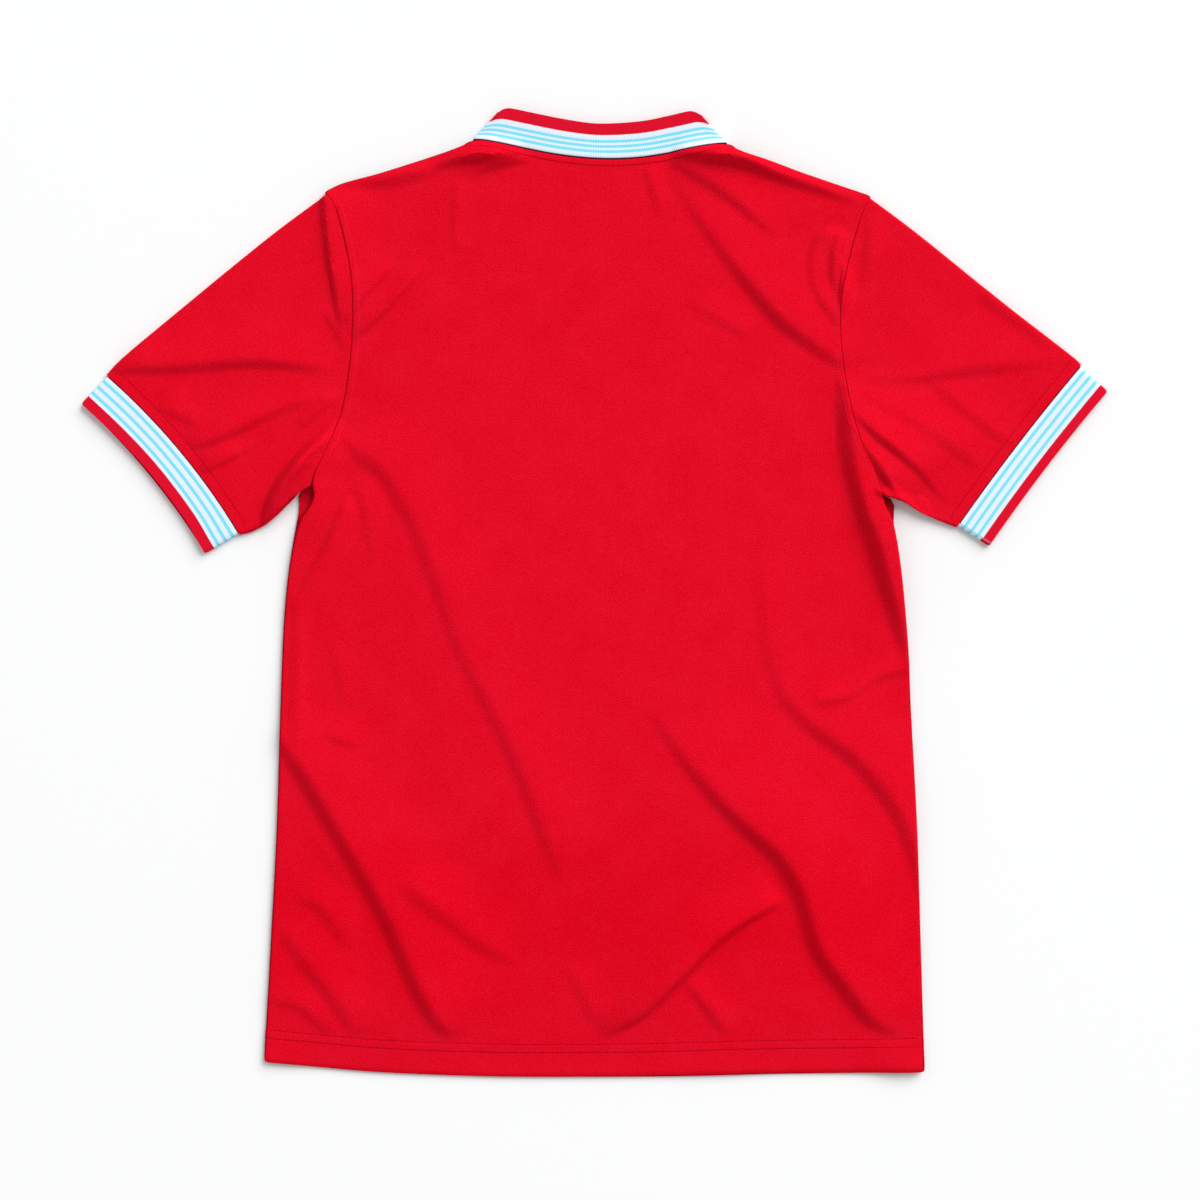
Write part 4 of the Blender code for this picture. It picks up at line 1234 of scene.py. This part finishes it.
def build_panel(name, panel, seams, step, level_of, meets, seed, material, face_down=False):
    """A body panel's piece of cloth, with its wales up the panel, and the points that it is built round."""
    points = panel_points(panel.patch, panel.armpit, step, level_of, meets)
    places = points[..., :2]
    relief = sewn_relief(places, seams, seed)
    shade = np.maximum(sewn_shade(places, seams), outline_shade(places, panel.patch))
    lay = np.dstack([places, np.zeros(places.shape[:2])])
    return shell(name, points, False, JERSEY_WALL, relief, shade, lay, material, face_down), points


def body_rows(panel):
    """The rows of stitches along the hem and the neck of a body panel."""
    hem_rows = [(panel.hem, stitch, HEM_FREE, HEM_FREE) for stitch in (HEM_LOWER_STITCH, HEM_UPPER_STITCH)]
    return hem_rows + [(panel.neck, -SEAM_STITCH, NECK_FREE, NECK_FREE)]


def armhole_rows(panel, free):
    """The rows of stitches along the armholes of a body panel, free of stitches near the armpits."""
    return [(arm, away, start, SHOULDER_FREE)
            for arm, away, start in zip(panel.arms, (-SEAM_STITCH, SEAM_STITCH), free)]


def build_back(material, thread_material, pale_thread):
    neck = Line([NECK[0]] + NECK_WAY + [NECK[1]])
    hem = Line([HEM_ENDS[0]] + BACK_HEM_WAY + [BACK_HEM_RIGHT])
    panel = make_panel(neck, hem, 0, BACK_ARMPITS, BACK_NOTCH_WAYS)
    hem_stitches = [(HEM_LOWER_STITCH, 0.26), (HEM_UPPER_STITCH, 0.05)]
    seams = [Seam(arm, [(SEAM_STITCH, 0.0)], raised=0.25, groove=0.14, edge=0.6, dark=0.7)
             for arm in panel.arms]
    seams.append(Seam(neck, [(SEAM_STITCH, 0.2)], raised=0.3, groove=0.2, edge=0.5, dark=0.5))
    seams.append(Seam(hem, hem_stitches, raised=0.15, groove=0.14, edge=0, dark=0))
    meets = SIDE_SEAM_HEIGHT + SEAM_GAP / 2
    back, points = build_panel("jersey_back", panel, seams, BACK_STEP, back_level, meets, BACK_SEED, material)
    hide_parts("back")
    runs = stitch_runs(body_rows(panel), back_level, seams, STITCH_SINK, BACK_SEED)
    sewing = thread("back_stitches", runs, thread_material)
    runs = stitch_runs(armhole_rows(panel, BACK_ARMPIT_FREE), back_level, seams, 0, BACK_SEED)
    armhole_sewing = thread("back_armhole_stitches", runs, pale_thread)
    surface_area(points, False)


def build_front(material, thread_material):
    neck = drooping(*FRONT_NECK, NECK_DROP)
    hem = Line([HEM_ENDS[0]] + HEM_WAY + [HEM_ENDS[1]])
    panel = make_panel(neck, hem, ARMHOLE_SCOOP, FRONT_ARMPITS, FRONT_NOTCH_WAYS)
    hem_stitches = [(HEM_LOWER_STITCH, 0.4), (HEM_UPPER_STITCH, 0.15)]
    seams = [Seam(arm, [(SEAM_STITCH, 0.2)], raised=0, groove=0.3, edge=0.25, dark=0.85)
             for arm in panel.arms]
    seams.append(Seam(neck, [(SEAM_STITCH, 0.3)], raised=0, groove=0.35, edge=0.25, dark=0.6))
    seams.append(Seam(hem, hem_stitches, raised=0, groove=0.35, edge=0, dark=0))
    meets = SIDE_SEAM_HEIGHT - SEAM_GAP / 2
    front, points = build_panel(
        "jersey_front", panel, seams, FRONT_STEP, front_level, meets, FRONT_SEED, material, True)
    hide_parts("front")
    rows = body_rows(panel) + armhole_rows(panel, FRONT_ARMPIT_FREE)
    runs = stitch_runs(rows, front_level, seams, UNDERSIDE_SINK, FRONT_SEED, True)
    sewing = thread("front_stitches", runs, thread_material)
    surface_area(points, False)


def sleeve_lay(places, start, end):
    """Cloth coordinates of a sleeve: its wales run from the shoulder to the cuff."""
    away = np.subtract(end, start)
    away = away / np.linalg.norm(away)
    aside = np.array([away[1], -away[0]])
    flat = places - np.array(start, float)
    return np.dstack([flat @ aside, flat @ away, np.zeros(places.shape[:2])])


def build_sleeve(arm, material, thread_material):
    lower_armhole = scooped(Line([arm.armpit] + arm.armhole + [arm.shoulder]), ARMHOLE_SCOOP, arm.inward)
    armhole = Line([arm.armpit] + arm.lip + arm.armhole + [arm.shoulder])
    over = Line([arm.shoulder] + arm.over + [arm.top])
    under = Line([arm.armpit] + arm.under + [arm.foot])
    under_lower = Line([arm.armpit] + arm.under_lower + [arm.foot])
    end = bowed(arm.top, arm.foot, arm.bow)
    upper = Patch(Line(armhole.points[::-1], 1), end, over, under)
    lower = Patch(Line(lower_armhole.points[::-1], 1), end, over, under_lower)
    seams = [
        Seam(armhole, [(0.0, 0.0)], raised=0, groove=0, edge=0.6, dark=0.7),
        Seam(end, [(CUFF_STITCH, 0.04)], raised=0.2, groove=0.12, edge=0.4, dark=0.45),
    ]
    points = tube_points(
        upper, lower, ARM_END_LINES, CUFF_END_LINES, SLEEVE_STEP, SLEEVE_STEP, upper_level, JERSEY_WALL)
    points = points[:, ::arm.inward]
    places = points[..., :2]
    on_top = points[..., 2] > TOP_LAYER
    relief = np.where(on_top, sewn_relief(places, seams, SLEEVE_SEED), 0)
    edges = [(over, arm.over_dark), (under, EDGE_WIDE)]
    shade = np.maximum(sewn_shade(places, seams), edge_shade(places, edges))
    # Painted shade in the armpit hollows, on the upper layer only.
    shade = np.where(on_top, np.maximum(shade, painted_pocket_shade(places)), shade)
    lay = sleeve_lay(places, arm.shoulder, arm.top)
    name = "sleeve_" + arm.side
    sleeve = shell("jersey_" + name, points, True, JERSEY_WALL, relief, shade, lay, material)
    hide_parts(name)
    rows = [(end, arm.inward * CUFF_STITCH, HEM_FREE, HEM_FREE)]
    runs = stitch_runs(rows, upper_level, seams, STITCH_SINK, SLEEVE_SEED)
    sewing = thread(name + "_stitches", runs, thread_material)
    surface_area(points, True)


def band_shares(points):
    """The share of the band's width at each row, measured along its middle."""
    k = points.shape[1] // 2
    steps = np.linalg.norm(np.diff(points[:, k], axis=0), axis=1)
    return np.concatenate([[0], np.cumsum(steps)]) / steps.sum()


def build_band(name, points, dip, material):
    """A rib band's piece of cloth. Its lay runs along it, across it, and from 0 at the seam to 1."""
    shares = band_shares(points)
    run = np.linalg.norm(np.diff(points, axis=1), axis=2)
    along = np.concatenate([np.zeros((len(points), 1)), np.cumsum(run, axis=1)], axis=1)
    middle = np.broadcast_to(along[len(points) // 2], along.shape)
    width = np.linalg.norm(points[-1] - points[0], axis=1)
    lay = np.dstack([middle, shares[:, None] * width, np.broadcast_to(shares[:, None], along.shape)])
    deep, dip_width, band_width = dip
    relief = -deep * bell(shares * band_width / dip_width)[:, None]
    return shell(name, points, True, RIB_WALL, relief, np.zeros(along.shape), lay, material)


def build_cuff(arm, material):
    inset = CUFF_INSET / np.linalg.norm(np.subtract(arm.top, arm.foot))
    near = Line(bowed(arm.top, arm.foot, arm.bow).at(np.linspace(inset, 1 - inset, ARC_POINTS)))
    far = bowed(arm.cuff_top, arm.cuff_foot, arm.cuff_bow)
    share = np.linspace(0, 1, CUFF_POINTS)
    drawn_in = far.at(share)
    inland = np.subtract(arm.top, arm.cuff_top) / np.linalg.norm(np.subtract(arm.top, arm.cuff_top))
    drawn_in += (arm.peeks * smooth(share / PEEK_IN) * smooth((1 - share) / PEEK_OUT))[:, None] * inland
    over = Line([near.points[0], arm.cuff_top])
    under = Line([near.points[-1], arm.cuff_foot])
    upper = Patch(near, Line(drawn_in, 4), over, under)
    lower = Patch(near, far, over, under)
    points = tube_points(
        upper, lower, RIB_LINES, RIB_EDGE_LINES, CUFF_STEP, RIB_STEP, upper_level, RIB_WALL, CUFF_CORNER)
    name = "cuff_" + arm.side
    cuff = build_band("rib_" + name, points[:, ::arm.inward], CUFF_DIP, material)
    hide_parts(name)


def build_collar(material):
    fold_left, fold_right = [Line([fold, corner]) for fold, corner in zip(COLLAR_FOLDS, COLLAR_CORNERS)]
    back_seam = Line([COLLAR_FOLDS[0]] + NECK_WAY + [COLLAR_FOLDS[1]])
    back_edge = Line([COLLAR_CORNERS[0]] + COLLAR_WAY + [COLLAR_CORNERS[1]])
    front_seam = drooping(*COLLAR_FOLDS, NECK_DROP + COLLAR_FOLDS[0][1] - NECK[0][1])
    front_edge = drooping(*COLLAR_CORNERS, COLLAR_DROP)
    upper = Patch(back_seam, back_edge, fold_left, fold_right)
    lower = Patch(front_seam, front_edge, fold_left, fold_right)

    def tilted(places):
        rise = np.clip((places[..., 1] - NECK[1][1]) / (COLLAR_CORNERS[0][1] - NECK[1][1]), 0, 1)
        return upper_level(places) + COLLAR_TILT * rise

    points = tube_points(upper, lower, RIB_LINES, RIB_EDGE_LINES, COLLAR_STEP, RIB_STEP, tilted, RIB_WALL)
    collar = build_band("rib_collar", points, COLLAR_DIP, material)
    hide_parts("collar")
    surface_area(points, True)


# ------------------------------------------------------------------ the studio

CAMERA_LENS = 85
SENSOR = 36
FRAME_WIDTH = 960
FRAME_CENTRE = (4.4, -6.0)

# One round softbox on the upper right, in metres and watts, and the pale room round it.
LIGHT_AZIMUTH = 52
LIGHT_ELEVATION = 38
LIGHT_DISTANCE = 32
LIGHT_SIZE = 28.0
LIGHT_POWER = 12900
ROOM = 0.62

# The floor, a sheet of paper: its side in metres, its colour and its roughness.
FLOOR_SIZE = 8
PAPER = (0.766, 0.770, 0.774, 1.0)
PAPER_ROUGHNESS = 0.9
WHITE = (1.0, 1.0, 1.0, 1.0)


def build_studio():
    bpy.ops.object.select_all(action="DESELECT")
    bpy.ops.mesh.primitive_plane_add(size=FLOOR_SIZE)
    floor = bpy.context.object
    floor.name = "floor"
    material = bpy.data.materials.new("white_paper")
    material.use_nodes = True
    surface = material.node_tree.nodes["Principled BSDF"]
    surface.inputs["Base Color"].default_value = PAPER
    surface.inputs["Roughness"].default_value = PAPER_ROUGHNESS
    floor.data.materials.append(material)

    azimuth, elevation = np.radians(LIGHT_AZIMUTH), np.radians(LIGHT_ELEVATION)
    level = np.cos(elevation)
    towards = Vector((np.cos(azimuth) * level, np.sin(azimuth) * level, np.sin(elevation)))
    softbox = bpy.data.lights.new("softbox", "AREA")
    softbox.shape = "DISK"
    softbox.size = LIGHT_SIZE
    softbox.energy = LIGHT_POWER
    lamp = bpy.data.objects.new("softbox", softbox)
    lamp.location = towards * LIGHT_DISTANCE
    lamp.rotation_euler = towards.to_track_quat("Z", "Y").to_euler()
    bpy.context.collection.objects.link(lamp)

    world = bpy.data.worlds.new("room")
    world.use_nodes = True
    background = world.node_tree.nodes["Background"]
    background.inputs["Color"].default_value = WHITE
    background.inputs["Strength"].default_value = ROOM
    scene = bpy.context.scene
    scene.world = world
    scene.view_settings.view_transform = "Standard"
    scene.view_settings.look = "None"

    camera = bpy.data.cameras.new("camera")
    camera.lens = CAMERA_LENS
    camera.sensor_width = SENSOR
    distance = FRAME_WIDTH * CAMERA_LENS / SENSOR
    eye = bpy.data.objects.new("camera", camera)
    eye.location = (FRAME_CENTRE[0] * MM, FRAME_CENTRE[1] * MM, distance * MM)
    bpy.context.collection.objects.link(eye)
    scene.camera = eye


def main():
    jersey = make_jersey()
    thread_material = make_thread("red_thread", *THREAD_RED_HOLE_SHADED)
    pale_thread = make_thread("pale_red_thread", *PALE_THREAD_RED)
    soft_thread = make_thread("soft_red_thread", *SOFT_THREAD_RED)
    build_front(jersey, thread_material)
    build_back(jersey, thread_material, pale_thread)
    for arm in ARMS:
        build_sleeve(arm, jersey, soft_thread)
        band = CUFF_BAND._replace(red_from=arm.red_from, join=arm.join)
        build_cuff(arm, make_rib("striped_rib_" + arm.side, band))
    build_collar(make_rib("striped_rib_collar", COLLAR_BAND))
    build_studio()


main()
